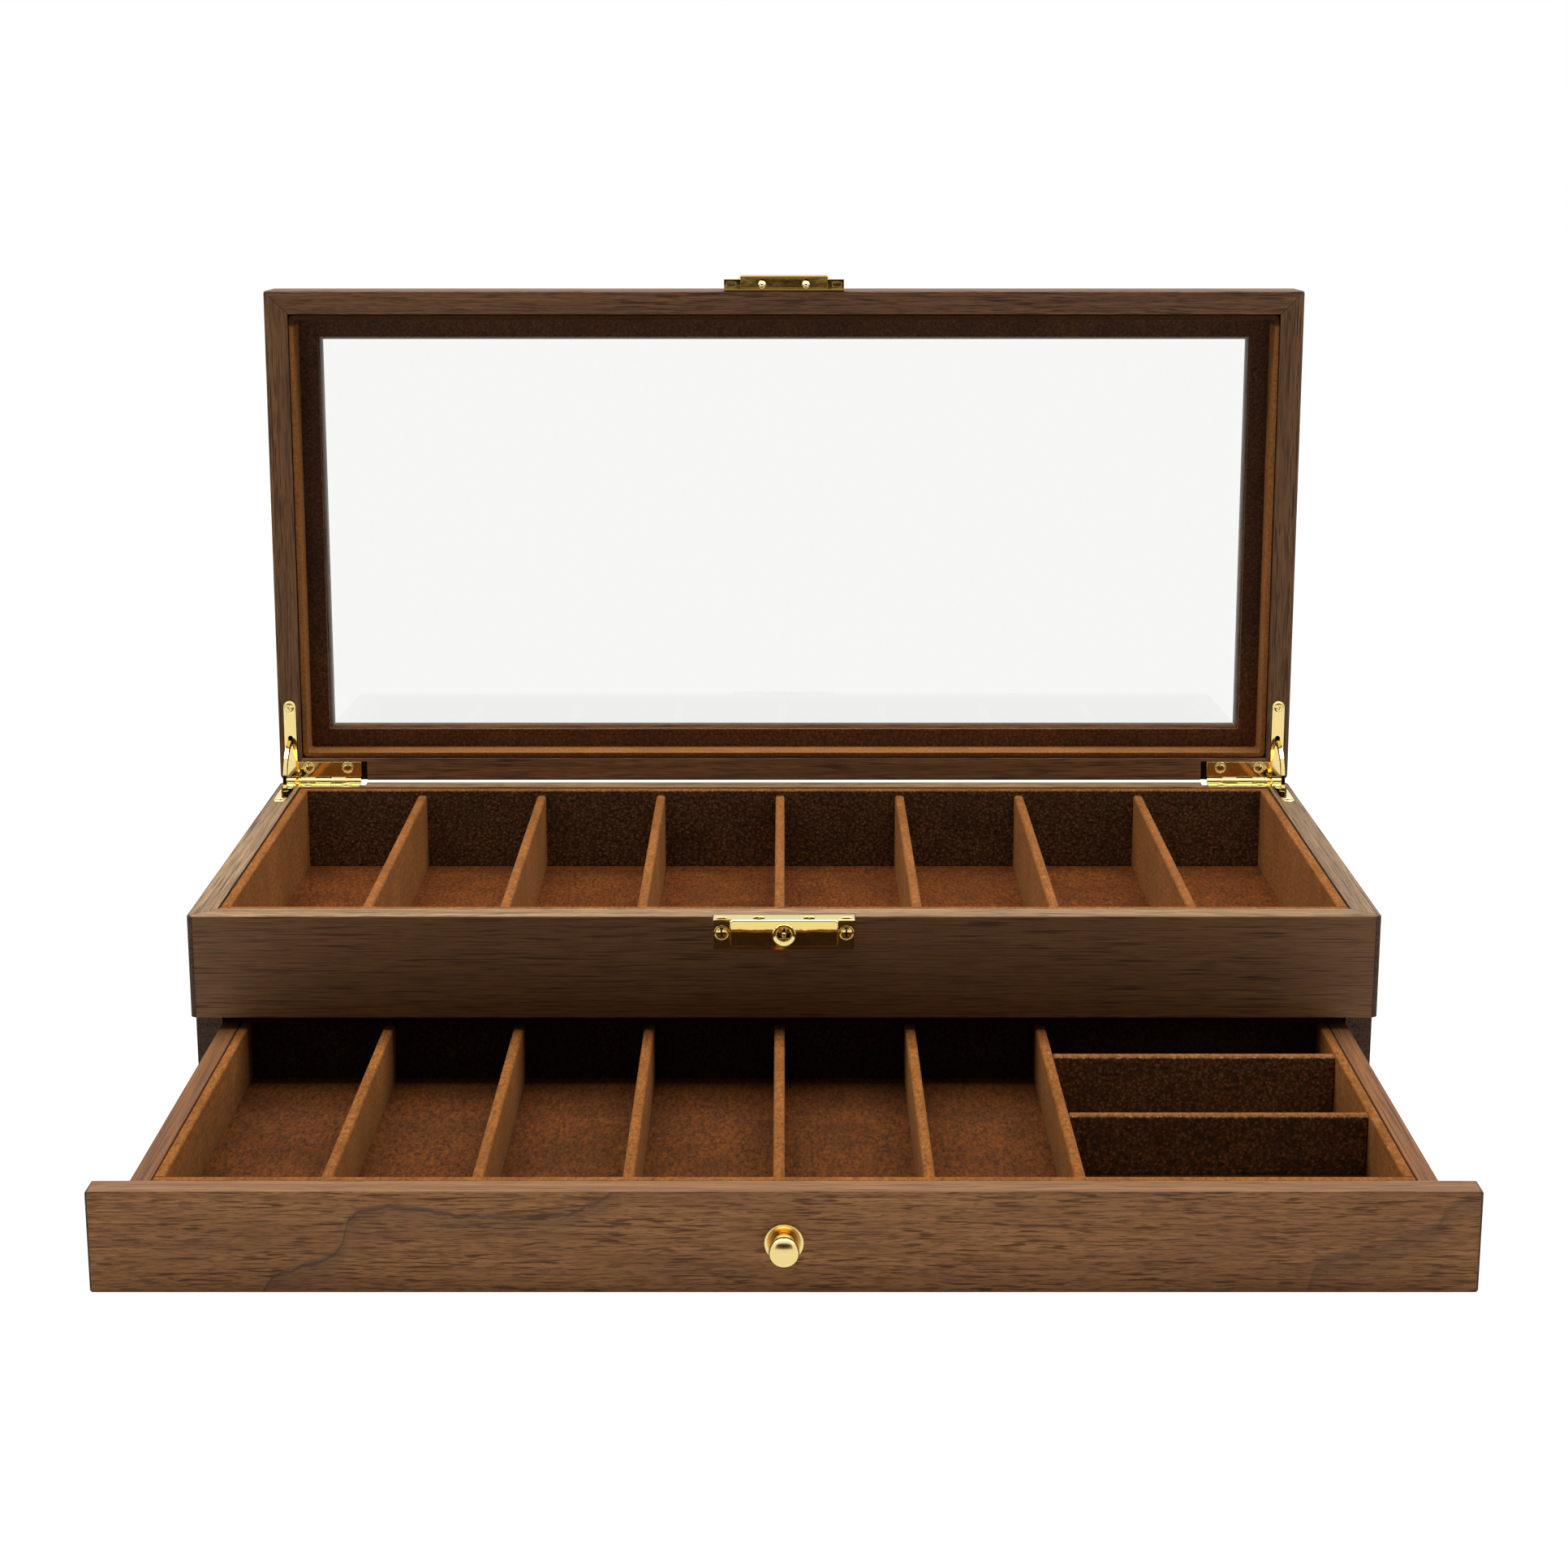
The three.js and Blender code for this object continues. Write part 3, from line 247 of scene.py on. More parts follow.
def walnut_veneer(name, grain, pale, mid, dark, shift=(0, 0, 0), heart=0.0, pores=1.0, gloss=0.5,
                  stretch=1.0, figure=None):
    """Walnut with its grain along one axis, from a place in the log shifted in mm, its heart mm aside."""
    material, tree = new_material(name)
    place = add(tree, "ShaderNodeTexCoord", out="Object")
    sides = add(tree, "ShaderNodeSeparateXYZ", {0: place}).node.outputs
    along, across, deep = [
        add(tree, "ShaderNodeMath", {0: sides[side], 1: 1 / MM, 2: offset}, operation="MULTIPLY_ADD")
        for side, offset in zip(AXES[grain], shift)]
    grain_place = add(tree, "ShaderNodeCombineXYZ", {0: along, 1: across, 2: deep})
    noise = {}
    for layer, (scale, detail) in LAYERS.items():
        stretched = add(tree, "ShaderNodeVectorMath", {0: grain_place, 1: (scale[0] * stretch, *scale[1:])},
                        operation="MULTIPLY")
        noise[layer] = add(tree, "ShaderNodeTexNoise", {"Vector": stretched, "Scale": 1.0, "Detail": detail})
    # the distance from the heart shrinks along the board, which closes the rings into arches
    bent = add(tree, "ShaderNodeMath", {0: noise["bend"], 1: BEND, 2: across}, operation="MULTIPLY_ADD")
    centred = add(tree, "ShaderNodeMath", {0: bent, 1: heart + BEND / 2}, operation="SUBTRACT")
    squared = add(tree, "ShaderNodeMath", {0: centred, 1: centred, 2: HEART}, operation="MULTIPLY_ADD")
    distance = add(tree, "ShaderNodeMath", {0: squared}, operation="SQRT")
    ring = add(tree, "ShaderNodeMath", {0: along, 1: CLOSING, 2: distance}, operation="MULTIPLY_ADD")
    rings = add(tree, "ShaderNodeTexNoise", {"W": ring, "Scale": 0.35, "Detail": 3.0}, noise_dimensions="1D")
    # each mask takes a noise from a low to a high value and turns it into a weak to strong share
    masks = {}
    for mask, source, low, high, weak, strong in (
        ("rings", rings, 0.35, 0.62, 0.0, 1.0),
        ("patches", noise["patches"], 0.46, 0.75, 0.0, 0.4),
        ("fibres", noise["fibres"], 0.34, 0.6, 0.45, 0.0),
        ("clusters", noise["clusters"], 0.35, 0.6, 0.45, 1.0),
        ("flecks", noise["flecks"], 0.53, 0.63, 0.0, 0.95 * pores),
        ("fine_flecks", noise["fine_flecks"], 0.52, 0.66, 0.0, 0.6 * pores),
    ):
        span = {"Value": source, "From Min": low, "From Max": high, "To Min": weak, "To Max": strong}
        masks[mask] = add(tree, "ShaderNodeMapRange", span)
    wood = add(tree, "ShaderNodeMix", {"Factor": masks["rings"], FIRST: linear(mid), SECOND: linear(pale)},
               MIXED, data_type="RGBA")
    for mask in ("patches", "fibres"):
        wood = add(tree, "ShaderNodeMix", {"Factor": masks[mask], FIRST: wood, SECOND: linear(dark)}, MIXED,
                   data_type="RGBA")
    if figure:
        wood = figure(tree, along, across, wood)
    grouped = add(tree, "ShaderNodeMath", {0: masks["flecks"], 1: masks["clusters"]}, operation="MULTIPLY")
    pitted = add(tree, "ShaderNodeMath", {0: grouped, 1: masks["fine_flecks"]}, operation="MAXIMUM")
    colour = add(tree, "ShaderNodeMix", {"Factor": pitted, FIRST: wood, SECOND: linear(dark, 0.6)}, MIXED,
                 data_type="RGBA")
    # pores are rougher and deeper than the lacquer round them
    roughness = add(tree, "ShaderNodeMath", {0: pitted, 1: 0.22, 2: gloss}, operation="MULTIPLY_ADD")
    groove = add(tree, "ShaderNodeMath", {0: noise["fibres"], 1: 0.35}, operation="MULTIPLY")
    height = add(tree, "ShaderNodeMath", {0: groove, 1: pitted}, operation="SUBTRACT")
    relief = add(tree, "ShaderNodeBump", {"Height": height, "Strength": 0.3, "Distance": 0.06 * MM})
    lacquered = add(tree, "ShaderNodeBsdfPrincipled",
                    {"Base Color": colour, "Roughness": roughness, "Normal": relief, "IOR": 1.45,
                     "Specular IOR Level": 0.28})
    add(tree, "ShaderNodeOutputMaterial", {"Surface": lacquered})
    return material


print("noises in the veneer's recipe:", list(LAYERS))

# %% [markdown]
# ## A sheet for each kind of board
# Each sheet has its own colours and its own shift in the log, as leaves cut from one log do.

# %% Cut the veneers
drawer_veneer = walnut_veneer(
    "walnut_veneer_drawer_front", "X", "#946537", "#875a2c", "#603b1e", heart=90, figure=drawer_figure)
front_veneer = walnut_veneer(
    "walnut_veneer_case_front", "X", "#664222", "#5b391c", "#38210f", (900, 0, 300), 150, 0.7, stretch=0.35,
    figure=paler_ends_and_painted_light_foot)
rail_veneer = walnut_veneer(
    "walnut_veneer_long_rails", "X", "#734d2d", "#644125", "#422a18", (-700, 0, 90), -160, stretch=0.6)
lid_front_veneer = walnut_veneer(
    "walnut_veneer_lid_front", "X", "#5a3a1e", "#503218", "#32200f", (900, 0, 300), 150, 0.7, stretch=0.35)
low_rail_veneer = walnut_veneer(
    "walnut_veneer_lid_back_rail", "X", "#a2754d", "#8d6241", "#5f4431", (-300, 0, 190), -160, stretch=0.4)
stile_veneer = walnut_veneer(
    "walnut_veneer_lid_stiles", "Z", "#785330", "#684525", "#442c17", (410, 520, 20), 300, stretch=0.4)
side_veneer = walnut_veneer(
    "walnut_veneer_case_sides", "Y", "#54371e", "#472e1a", "#2f1e0f", (300, 0, 60), 340, stretch=0.4)
# the lid's outer sides match the case; the same dark veneer on its edges round the window is painted shade
lid_sides_and_window_shade_veneer = walnut_veneer(
    "walnut_veneer_lid_sides", "Z", "#54371e", "#472e1a", "#2f1e0f", (300, 0, 60), 340, stretch=0.4)
# painted light: paler copies for the tops of the case's rim, for the overhead light's sheen
rim_top_painted_light_long = walnut_veneer(
    "walnut_edge_strip_long", "X flat", "#9e7b53", "#836543", "#4a3520", (-300, 200, 40), 280, stretch=0.5)
rim_top_painted_light_short = walnut_veneer(
    "walnut_edge_strip_short", "Y flat", "#8c6d4a", "#73593c", "#3e2c1a", (210, 530, 70), 310, stretch=0.2)
# painted shade: a darker copy for the drawer front's top, against the overhead light
drawer_top_painted_shade = walnut_veneer(
    "walnut_edge_strip_drawer", "X flat", "#7e5630", "#6f4826", "#523418", (-500, 200, 40), 280, 0.7,
    stretch=0.5)
drawer_side_wood = walnut_veneer(
    "walnut_drawer_box_sides", "Y flat", "#70451c", "#623b17", "#432711", (90, 140, 40), 230, 0.8, 0.6, 0.2)
drawer_end_wood = walnut_veneer(
    "walnut_drawer_box_ends", "X", "#7c4e2d", "#6d4326", "#52311a", (-190, 0, 40), 230, gloss=0.6)
# painted shade: near-black wood for the floors of recesses, where shade falls
hollow_painted_shade = walnut_veneer(
    "walnut_routed_recess", "X", "#1c120b", "#150d07", "#0c0704", (50, 60, 70), 100, gloss=0.8)
print("veneers:", [m.name for m in bpy.data.materials if m.name.startswith("walnut")])

# %% [markdown]
# ## Suede
# Linings, dividers and floors are thin board wrapped in tan suede with a short brushed nap.
# Suede scatters light from the tips of its fibres, so it glows at glancing angles: that is
# what the sheen does. Walls that face front or back take the light at a glancing angle, and
# there they wear a raked copy of the suede, finely pebbled, with painted shade in the
# creases between pebbles and painted glints on them. That copy is darker, as painted shade,
# on the case's linings and darker still deep in the drawer, and paler, as painted light, on
# the drawer's cross dividers. Real nap and pebbles are well under a millimetre, finer than
# the picture can show, so the nap is drawn 1.1 mm wide and the pebbles 1.25 mm. The nap is
# longer along the depth of the case, which the eye sees shortened. The floors of the tray
# and drawer wear darker copies as painted shade, and some pieces have painted shade that
# comes in between two levels.

# %% Make the suede
def suede(name, light, dark, speckle, pebble=0.0, painted_glint=0.0, shine=0.0, shade=None):
    """Short-napped suede. A painted shade is the level in mm where it starts, where it is full, and its
    strength.
    """
    material, tree = new_material(name)
    place = add(tree, "ShaderNodeTexCoord", out="Object")
    drawn_out = add(tree, "ShaderNodeVectorMath", {0: place, 1: (1, 0.4, 1)}, operation="MULTIPLY")
    nap = add(tree, "ShaderNodeTexNoise",
              {"Vector": drawn_out, "Scale": 1 / (1.1 * MM), "Detail": 3.0, "Roughness": 0.8})
    clouds = add(tree, "ShaderNodeTexNoise", {"Vector": place, "Scale": 1 / (20 * MM), "Detail": 3.0})
    pebbles = add(tree, "ShaderNodeTexVoronoi", {"Vector": place, "Scale": 1 / (1.25 * MM)})
    # each coat takes a pattern from a low to a high value and lays a colour on as a share of that
    coats = [(nap, 0.5 - speckle, 0.5 + speckle, 0.0, 1.0, linear(light)),
             (clouds, 0.42, 0.68, 0.0, 0.4, linear(dark)),
             # these two coats are painted shade in the creases between pebbles and painted glints on them
             (pebbles, 0.35, 0.75, 0.0, pebble, linear(dark, 0.3)),
             (pebbles, 0.1, 0.3, painted_glint, 0.0, linear(light, 1.6))]
    if shade:
        # painted shade: darkens the piece between the two levels
        level = add(tree, "ShaderNodeSeparateXYZ", {0: place}, out="Z")
        coats.append((level, shade[0] * MM, shade[1] * MM, 0.0, shade[2], linear("#0c0704")))
    skin = linear(dark)
    for source, low, high, weak, strong, colour in coats:
        span = {"Value": source, "From Min": low, "From Max": high, "To Min": weak, "To Max": strong}
        mask = add(tree, "ShaderNodeMapRange", span)
        skin = add(tree, "ShaderNodeMix", {"Factor": mask, FIRST: skin, SECOND: colour}, MIXED,
                   data_type="RGBA")
    hollow = add(tree, "ShaderNodeMath", {0: pebbles, 1: pebble}, operation="MULTIPLY")
    height = add(tree, "ShaderNodeMath", {0: nap, 1: 0.35, 2: hollow}, operation="MULTIPLY_ADD")
    relief = add(tree, "ShaderNodeBump", {"Height": height, "Strength": 0.7, "Distance": 0.3 * MM},
                 invert=True)
    brushed = add(tree, "ShaderNodeBsdfPrincipled",
                  {"Base Color": skin, "Roughness": 0.8 - shine, "Normal": relief,
                   "Specular IOR Level": 0.06 + shine, "Sheen Weight": 0.12, "Sheen Roughness": 0.5,
                   "Sheen Tint": linear("#d99a66")})
    add(tree, "ShaderNodeOutputMaterial", {"Surface": brushed})
    return material


tan_suede = suede("tan_suede", "#8f5827", "#4c2a0d", 0.2)
# painted shade, darker down towards the drawer's floor
drawer_wall_suede = suede("tan_suede_drawer_walls", "#8f5827", "#4c2a0d", 0.2, shade=(25, 10, 0.5))
# painted shade: darker copies for the floors down in the tray's cells and in the drawer
floor_suede = suede("tan_suede_tray_floor", "#743c12", "#2d1505", 0.16)
drawer_floor_suede = suede("tan_suede_drawer_floor", "#5e310d", "#200f04", 0.16)
# painted shade over the band's top, above 247 mm
band_suede = suede("tan_suede_band", "#935f32", "#613a19", 0.2, shade=(247.2, 248.4, 0.82))
# painted shade: a darker raked copy for the case's front and back linings, with painted crease shade and
# glints
wall_suede = suede("tan_suede_raked", "#8d6440", "#382716", 0.14, 0.6, 0.9, 0.12)
# painted light: a paler raked copy for the drawer's cross dividers, which little light reaches
drawer_cell_suede_painted_light = suede("tan_suede_raked_in_the_drawer", "#b08258", "#4c3822", 0.14, 0.6, 0.8, 0.14)
# painted shade: a dark copy for the drawer's end linings, which the lock's lower face mirrors
deep_suede_painted_shade = suede("tan_suede_deep_in_the_drawer", "#4c3a2b", "#261b13", 0.2, 0.4, 0.2)
# painted shade, deepening up the frame from 84 to 130 mm
frame_suede = suede("tan_suede_round_the_glass", "#83502a", "#3f2510", 0.18, 0.4, 0.25, 0.08, (84, 130, 0.6))
print("suedes:", [m.name for m in bpy.data.materials if "suede" in m.name])

# %% [markdown]
# ## Gilt brass
# Hinges, lock and catch are stamped brass with a bright gold plate, so they mirror the case:
# the white studio above, the brown tray and drawer below. A metal keeps the default IOR and
# takes its tint from the base colour. Plated stampings are never quite flat, so a very
# shallow bump bends the reflections. The front of the lock's box rolls back towards its top
# edge, so its upper part mirrors the white room and its lower part the dark drawer. The
# catch's box wears a darker copy of the plate, painted shade. The knob is brushed to a
# satin, and an amber reflection is painted round its neck.

# %% Make the gilt finishes
# a rolled face goes back with the square of the height above its level: 0.35 mm at 5 mm
ROLL = -14.0


def gilt_brass(name, colour, roughness, waviness, crown=None):
    """Gold-plated brass. Its face rolls back above a level in mm where one is given."""
    material, tree = new_material(name)
    place = add(tree, "ShaderNodeTexCoord", out="Object")
    waves = add(tree, "ShaderNodeTexNoise", {"Vector": place, "Scale": 1 / (5 * MM), "Detail": 2.0})
    smears = add(tree, "ShaderNodeTexNoise", {"Vector": place, "Scale": 1 / (3 * MM), "Detail": 3.0})
    height = add(tree, "ShaderNodeMath", {0: waves, 1: waviness * MM}, operation="MULTIPLY")
    if crown:
        level = add(tree, "ShaderNodeSeparateXYZ", {0: place}, out="Z")
        above = add(tree, "ShaderNodeMath", {0: level, 1: crown * MM}, operation="SUBTRACT")
        above = add(tree, "ShaderNodeMath", {0: above, 1: 0.0}, operation="MAXIMUM")
        rolled = add(tree, "ShaderNodeMath", {0: above, 1: above}, operation="MULTIPLY")
        height = add(tree, "ShaderNodeMath", {0: rolled, 1: ROLL, 2: height}, operation="MULTIPLY_ADD")
    relief = add(tree, "ShaderNodeBump", {"Height": height, "Strength": 1.0, "Distance": 1.0})
    # handling leaves smears, which vary the roughness by up to 30 percent either way
    dulled = add(tree, "ShaderNodeMath", {0: smears, 1: roughness * 0.6, 2: roughness * 0.7},
                 operation="MULTIPLY_ADD")
    plate = add(tree, "ShaderNodeBsdfPrincipled",
                {"Base Color": linear(colour), "Metallic": 1.0, "Roughness": dulled, "Normal": relief})
    add(tree, "ShaderNodeOutputMaterial", {"Surface": plate})
    return material


bright_gilt = gilt_brass("gold_plated_brass", "#f3db94", 0.07, 0.03)
rolled_gilt = gilt_brass("gold_plated_brass_rolled_face", "#f0d586", 0.05, 0.05, crown=64.4)
satin_gilt = gilt_brass("satin_gold_plate", "#f2d790", 0.22, 0.01)
# painted reflection: an amber copy of the satin plate for the faces round the knob's neck
knob_neck_gilt_painted_reflection = gilt_brass("satin_gold_plate_with_pooled_lacquer", "#c4954c", 0.22, 0.01)
# painted shade: a darker copy of the plate for the catch's box
catch_box_gilt_painted_shade = gilt_brass("gold_plated_brass_catch_box", "#94743a", 0.1, 0.03)
print("gilt:", [m.name for m in bpy.data.materials if "gold" in m.name])

# %% [markdown]
# ## Glass and felt
# The window is a plain pane of float glass. It is almost invisible from the front, and shows
# as a faint grey over the white behind it. Its specular level is lowered to keep its veil
# over the tray as thin as on the real pane. Shadow rays pass straight through it, because the
# renderer does not trace light through a solid pane. The felt under the case is matt and
# black, and its fuzz is drawn 0.8 mm wide, coarser than real fibres.

# %% Make the glass and the felt
window_glass, tree = new_material("float_glass")
pane = add(tree, "ShaderNodeBsdfPrincipled",
           {"Base Color": linear("#f6f7f5"), "Roughness": 0.0, "IOR": 1.5, "Specular IOR Level": 0.12,
            "Transmission Weight": 1.0})
clear = add(tree, "ShaderNodeBsdfTransparent", {"Color": linear("#eef2f0")})
shadow_ray = add(tree, "ShaderNodeLightPath", out="Is Shadow Ray")
glazing = add(tree, "ShaderNodeMixShader", {"Fac": shadow_ray, 1: pane, 2: clear})
add(tree, "ShaderNodeOutputMaterial", {"Surface": glazing})

black_felt, tree = new_material("pressed_wool_felt")
place = add(tree, "ShaderNodeTexCoord", out="Object")
fuzz = add(tree, "ShaderNodeTexNoise", {"Vector": place, "Scale": 1 / (0.8 * MM), "Detail": 4.0})
shade = add(tree, "ShaderNodeMix", {"Factor": fuzz, FIRST: linear("#0c0b0a"), SECOND: linear("#332e2b")},
            MIXED, data_type="RGBA")
relief = add(tree, "ShaderNodeBump", {"Height": fuzz, "Strength": 0.6, "Distance": 0.3 * MM})
felt = add(tree, "ShaderNodeBsdfPrincipled",
           {"Base Color": shade, "Roughness": 1.0, "Normal": relief, "Specular IOR Level": 0.1,
            "Sheen Weight": 0.2})
add(tree, "ShaderNodeOutputMaterial", {"Surface": felt})
print("materials:", len(bpy.data.materials))

# %% [markdown]
# ## How the lid is turned
# The lid was drawn closed and then turned open about its hinge. Three steps need that turn:
# one finds the recesses in the lid's parting face, one draws out its corners, and one drives
# its screws.

# %% Keep the hinge and the turn
HINGE = Vector((0, 96.4, 68.95))
DEGREES_OPEN = 91.5
OPEN = Matrix.Rotation(math.radians(-DEGREES_OPEN), 3, "X")


def opened(point):
    """A point of the closed lid, in mm, after the lid is turned open."""
    return OPEN @ (Vector(point) - HINGE) + HINGE


print("the lid is turned open by", DEGREES_OPEN, "degrees")

# %% [markdown]
# ## Easing the edges
# No real edge is razor sharp: sandpaper eases the veneer, plating rounds brass, and suede
# folds over its board. A bevel on a cleaned copy of each solid gives that narrow edge, which
# catches a line of light. The copy is merged first, then its flat areas are joined into
# single faces, so that the bevel finds only true edges. Normals are then weighted by area,
# so that flat brass keeps a flat reflection. A clamped bevel shrinks over the whole piece
# until it fits beside the shortest edge, which would leave a stamping with fine steps sharp,
# so such pieces are left unclamped. The slivers that bevels and cuts leave are collapsed.

# %% Copy a piece with eased edges
MERGE = 0.002 * MM
SLIVER = 0.001 * MM
FLAT_DEGREES, SHARP_DEGREES = 0.6, 28


def without_slivers(mesh):
    """Collapses edges shorter than a thousandth of a millimetre, which close the mesh badly."""
    shape = bmesh.new()
    shape.from_mesh(mesh)
    bmesh.ops.remove_doubles(shape, verts=shape.verts, dist=SLIVER)
    bmesh.ops.dissolve_degenerate(shape, dist=SLIVER, edges=shape.edges)
    shape.to_mesh(mesh)
    shape.free()
    return mesh


def eased(name, finishes, suffix, edge, segments=2, pick=None, cutter=None, clamped=True):
    """Replaces a model piece by a copy with eased edges, at the same place on the same body."""
    source = nodes[name]
    mesh = source.data.copy()
    shape = bmesh.new()
    shape.from_mesh(mesh)
    bmesh.ops.remove_doubles(shape, verts=shape.verts, dist=MERGE)
    bmesh.ops.dissolve_limit(shape, angle_limit=math.radians(FLAT_DEGREES), verts=shape.verts,
                             edges=shape.edges)
    for face in shape.faces:
        face.smooth = True
    shape.to_mesh(mesh)
    shape.free()
    mesh.materials.clear()
    for finish in finishes:
        mesh.materials.append(finish)
    if pick:
        for face in mesh.polygons:
            face.material_index = pick(face.center / MM, face.normal)
    copy = bpy.data.objects.new(name + suffix, mesh)
    bpy.context.scene.collection.objects.link(copy)
    if cutter:
        dished = copy.modifiers.new("dish", "BOOLEAN")
        dished.object = cutter
        dished.operation = "DIFFERENCE"
        dished.solver = "EXACT"
    bevel = copy.modifiers.new("eased_edge", "BEVEL")
    bevel.width = edge * MM
    bevel.segments = segments
    bevel.limit_method = "ANGLE"
    bevel.angle_limit = math.radians(SHARP_DEGREES)
    bevel.miter_outer = "MITER_ARC"
    bevel.use_clamp_overlap = clamped
    flat = copy.modifiers.new("flat_faces_stay_flat", "WEIGHTED_NORMAL")
    flat.weight = 100
    flat.keep_sharp = True
    made = bpy.data.meshes.new_from_object(copy.evaluated_get(bpy.context.evaluated_depsgraph_get()))
    copy.modifiers.clear()
    copy.data = without_slivers(made)
    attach(copy, body_of(source)[0])
    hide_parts(name)
    return copy


print("edges that turn by more than", SHARP_DEGREES, "degrees are eased")

# %% [markdown]
# ## Which veneer each face wears
# A board shows its face veneer, and its faces that look up wear their own copy of the wood:
# paler on the case's rim, painted light, and darker on the drawer front's top, painted shade.
# The floor of a recess wears near-black wood as painted shade. At the case's front corners
# the darker veneer of the sides comes round as painted shade, the lid's outer faces wear what
# the case wears below them, and the lid's edges round the window wear the dark side veneer
# as painted shade. One rule for the case and drawer and one for the lid pick a finish for
# each face, by where its middle is, in mm, and by which way it looks. The lid's rule turns a
# face back to the closed lid to find its depth.

# %% Pick a veneer for each face
FACE, PAINTED_TOP, HOLLOW_SHADE, SIDES = range(4)
OWN, LID_HOLLOW_SHADE, LID_SIDES_AND_WINDOW_SHADE, LID_FRONT, LID_BACK = range(5)
# a face looks along an axis when its normal has more than this along it
STRAIGHT = 0.9
# places in mm: near the case's outer sides, at the rim's level, and in front of the case
NEAR_SIDE, ABOVE_DRAWER, RIM_LEVEL, DRAWER_FRONT = 197, 60, 68.5, -240


def case_faces(centre, normal):
    """Side veneer as painted shade at the front corners, the tops' painted copies on the rim and the drawer
    front, and near-black painted shade in recesses.
    """
    # painted shade: the darker side veneer on the rounded front corners, which turn away from the light
    if centre.y < 0 and abs(centre.x) > NEAR_SIDE and abs(normal.x) > 0.1:
        return SIDES
    # up-facing faces get the tops' own copy: painted light on the rim, painted shade on the drawer front's
    # top
    if normal.z > STRAIGHT and centre.z > ABOVE_DRAWER:
        # a recess floor below the rim's level gets the near-black wood, painted shade
        return PAINTED_TOP if centre.z > RIM_LEVEL else HOLLOW_SHADE
    return PAINTED_TOP if normal.z > STRAIGHT and centre.y < DRAWER_FRONT else FACE


def lid_faces(centre, normal):
    """Painted shade in the parting face's recesses and on the edges round the window, and other veneers on
    the lid's sides, front and back.
    """
    depth = (OPEN.inverted() @ (centre - HINGE)).z
    to_window = Vector((-centre.x, 0, 165 - centre.z)).normalized()
    # the floors of the recesses in the parting face get the near-black wood, painted shade
    if normal.y < -STRAIGHT and 0.8 < depth < 2.5:
        return LID_HOLLOW_SHADE
    if normal.z > STRAIGHT and centre.z > 260:
        return LID_FRONT
    if normal.z < -STRAIGHT and centre.z < 75 and centre.y > 97:
        return LID_BACK
    # edges that look into the window wear the dark side veneer as painted shade
    outer_side = abs(normal.x) > STRAIGHT and abs(centre.x) > 199
    return LID_SIDES_AND_WINDOW_SHADE if outer_side or normal.dot(to_window) > STRAIGHT else OWN


print("finishes on a case board and on a lid rail:", SIDES + 1, LID_BACK + 1)

# %% [markdown]
# ## The boards
# Case, lid and drawer are made of flat boards, so each needs only its finish and its eased
# edges. Each is copied from its own solid, which keeps its mitres, rebate and recesses.

# %% Veneer the boards
finished = {}
rim = {"case_front": (front_veneer, rim_top_painted_light_long), "case_back": (rail_veneer, rim_top_painted_light_long),
       "case_left_side": (side_veneer, rim_top_painted_light_short), "case_right_side": (side_veneer, rim_top_painted_light_short),
       "drawer_front": (drawer_veneer, drawer_top_painted_shade)}
rails = {"lid_front_rail": rail_veneer, "lid_back_rail": low_rail_veneer, "lid_left_rail": stile_veneer,
         "lid_right_rail": stile_veneer}
plain = {"case_shelf": rail_veneer, "case_bottom": rail_veneer, "drawer_inner_front": drawer_end_wood,
         "drawer_back": drawer_end_wood, "drawer_bottom": drawer_end_wood,
         "drawer_left_side": drawer_side_wood, "drawer_right_side": drawer_side_wood}
for name, pair in rim.items():
    finished[name] = eased(name, (*pair, hollow_painted_shade, side_veneer), "_veneered", 0.25, pick=case_faces)
for name, veneer in rails.items():
    finishes = (veneer, hollow_painted_shade, lid_sides_and_window_shade_veneer, lid_front_veneer, rail_veneer)
    finished[name] = eased(name, finishes, "_veneered", 0.25, pick=lid_faces)
for name, veneer in plain.items():
    finished[name] = eased(name, (veneer,), "_veneered", 0.25)
print("boards:", len(finished))

# %% [markdown]
# ## Crisp corners
# The model rounds the outer corners by 2.2 mm. On the real case the front corners of the lid
# and the corners of the drawer front are sanded to about 1 mm, and their outlines show it.
# Moving the vertices of each arc out does that and keeps all faces. The front corners of the
# case itself are as round as the model's, and the back ones leave room for the hinges.

# %% Draw round corners out to crisp ones
MODEL_CORNER, REAL_CORNER = 2.2, 1.0
HALF_WIDTH, LID_HALF_DEPTH, DRAWER_HALF_HEIGHT = 200, 96, 15.6
# one matrix shuts the lid, the other lays the drawer front on its face about its middle
SHUT = Matrix.Translation(HINGE) @ (OPEN.inverted().to_4x4() @ Matrix.Translation(-HINGE))
DRAWER_MIDDLE = 16.6
LAID_FLAT = Matrix(((1, 0, 0, 0), (0, 0, 1, -DRAWER_MIDDLE), (0, 1, 0, 0), (0, 0, 0, 1)))


def crisp_corners(mesh, into, half_width, half_depth, front_only=False):
    """Shrinks the corner radius of an outline that the matrix lays flat about its middle."""
    moved = 0
    pull = MODEL_CORNER - REAL_CORNER
    back = into.inverted()
    for vertex in mesh.vertices:
        spot = into @ (vertex.co / MM)
        side = Vector((math.copysign(1, spot.x), math.copysign(1, spot.y)))
        centre = Vector((side.x * (half_width - MODEL_CORNER), side.y * (half_depth - MODEL_CORNER)))
        arm = spot.xy - centre
        in_corner = min(arm.x * side.x, arm.y * side.y) >= 0 and arm.length >= pull
        if in_corner and not (front_only and side.y > 0):
            spot.xy = centre + side * pull + arm.normalized() * (arm.length - pull)
            vertex.co = (back @ spot) * MM
            moved += 1
    return moved


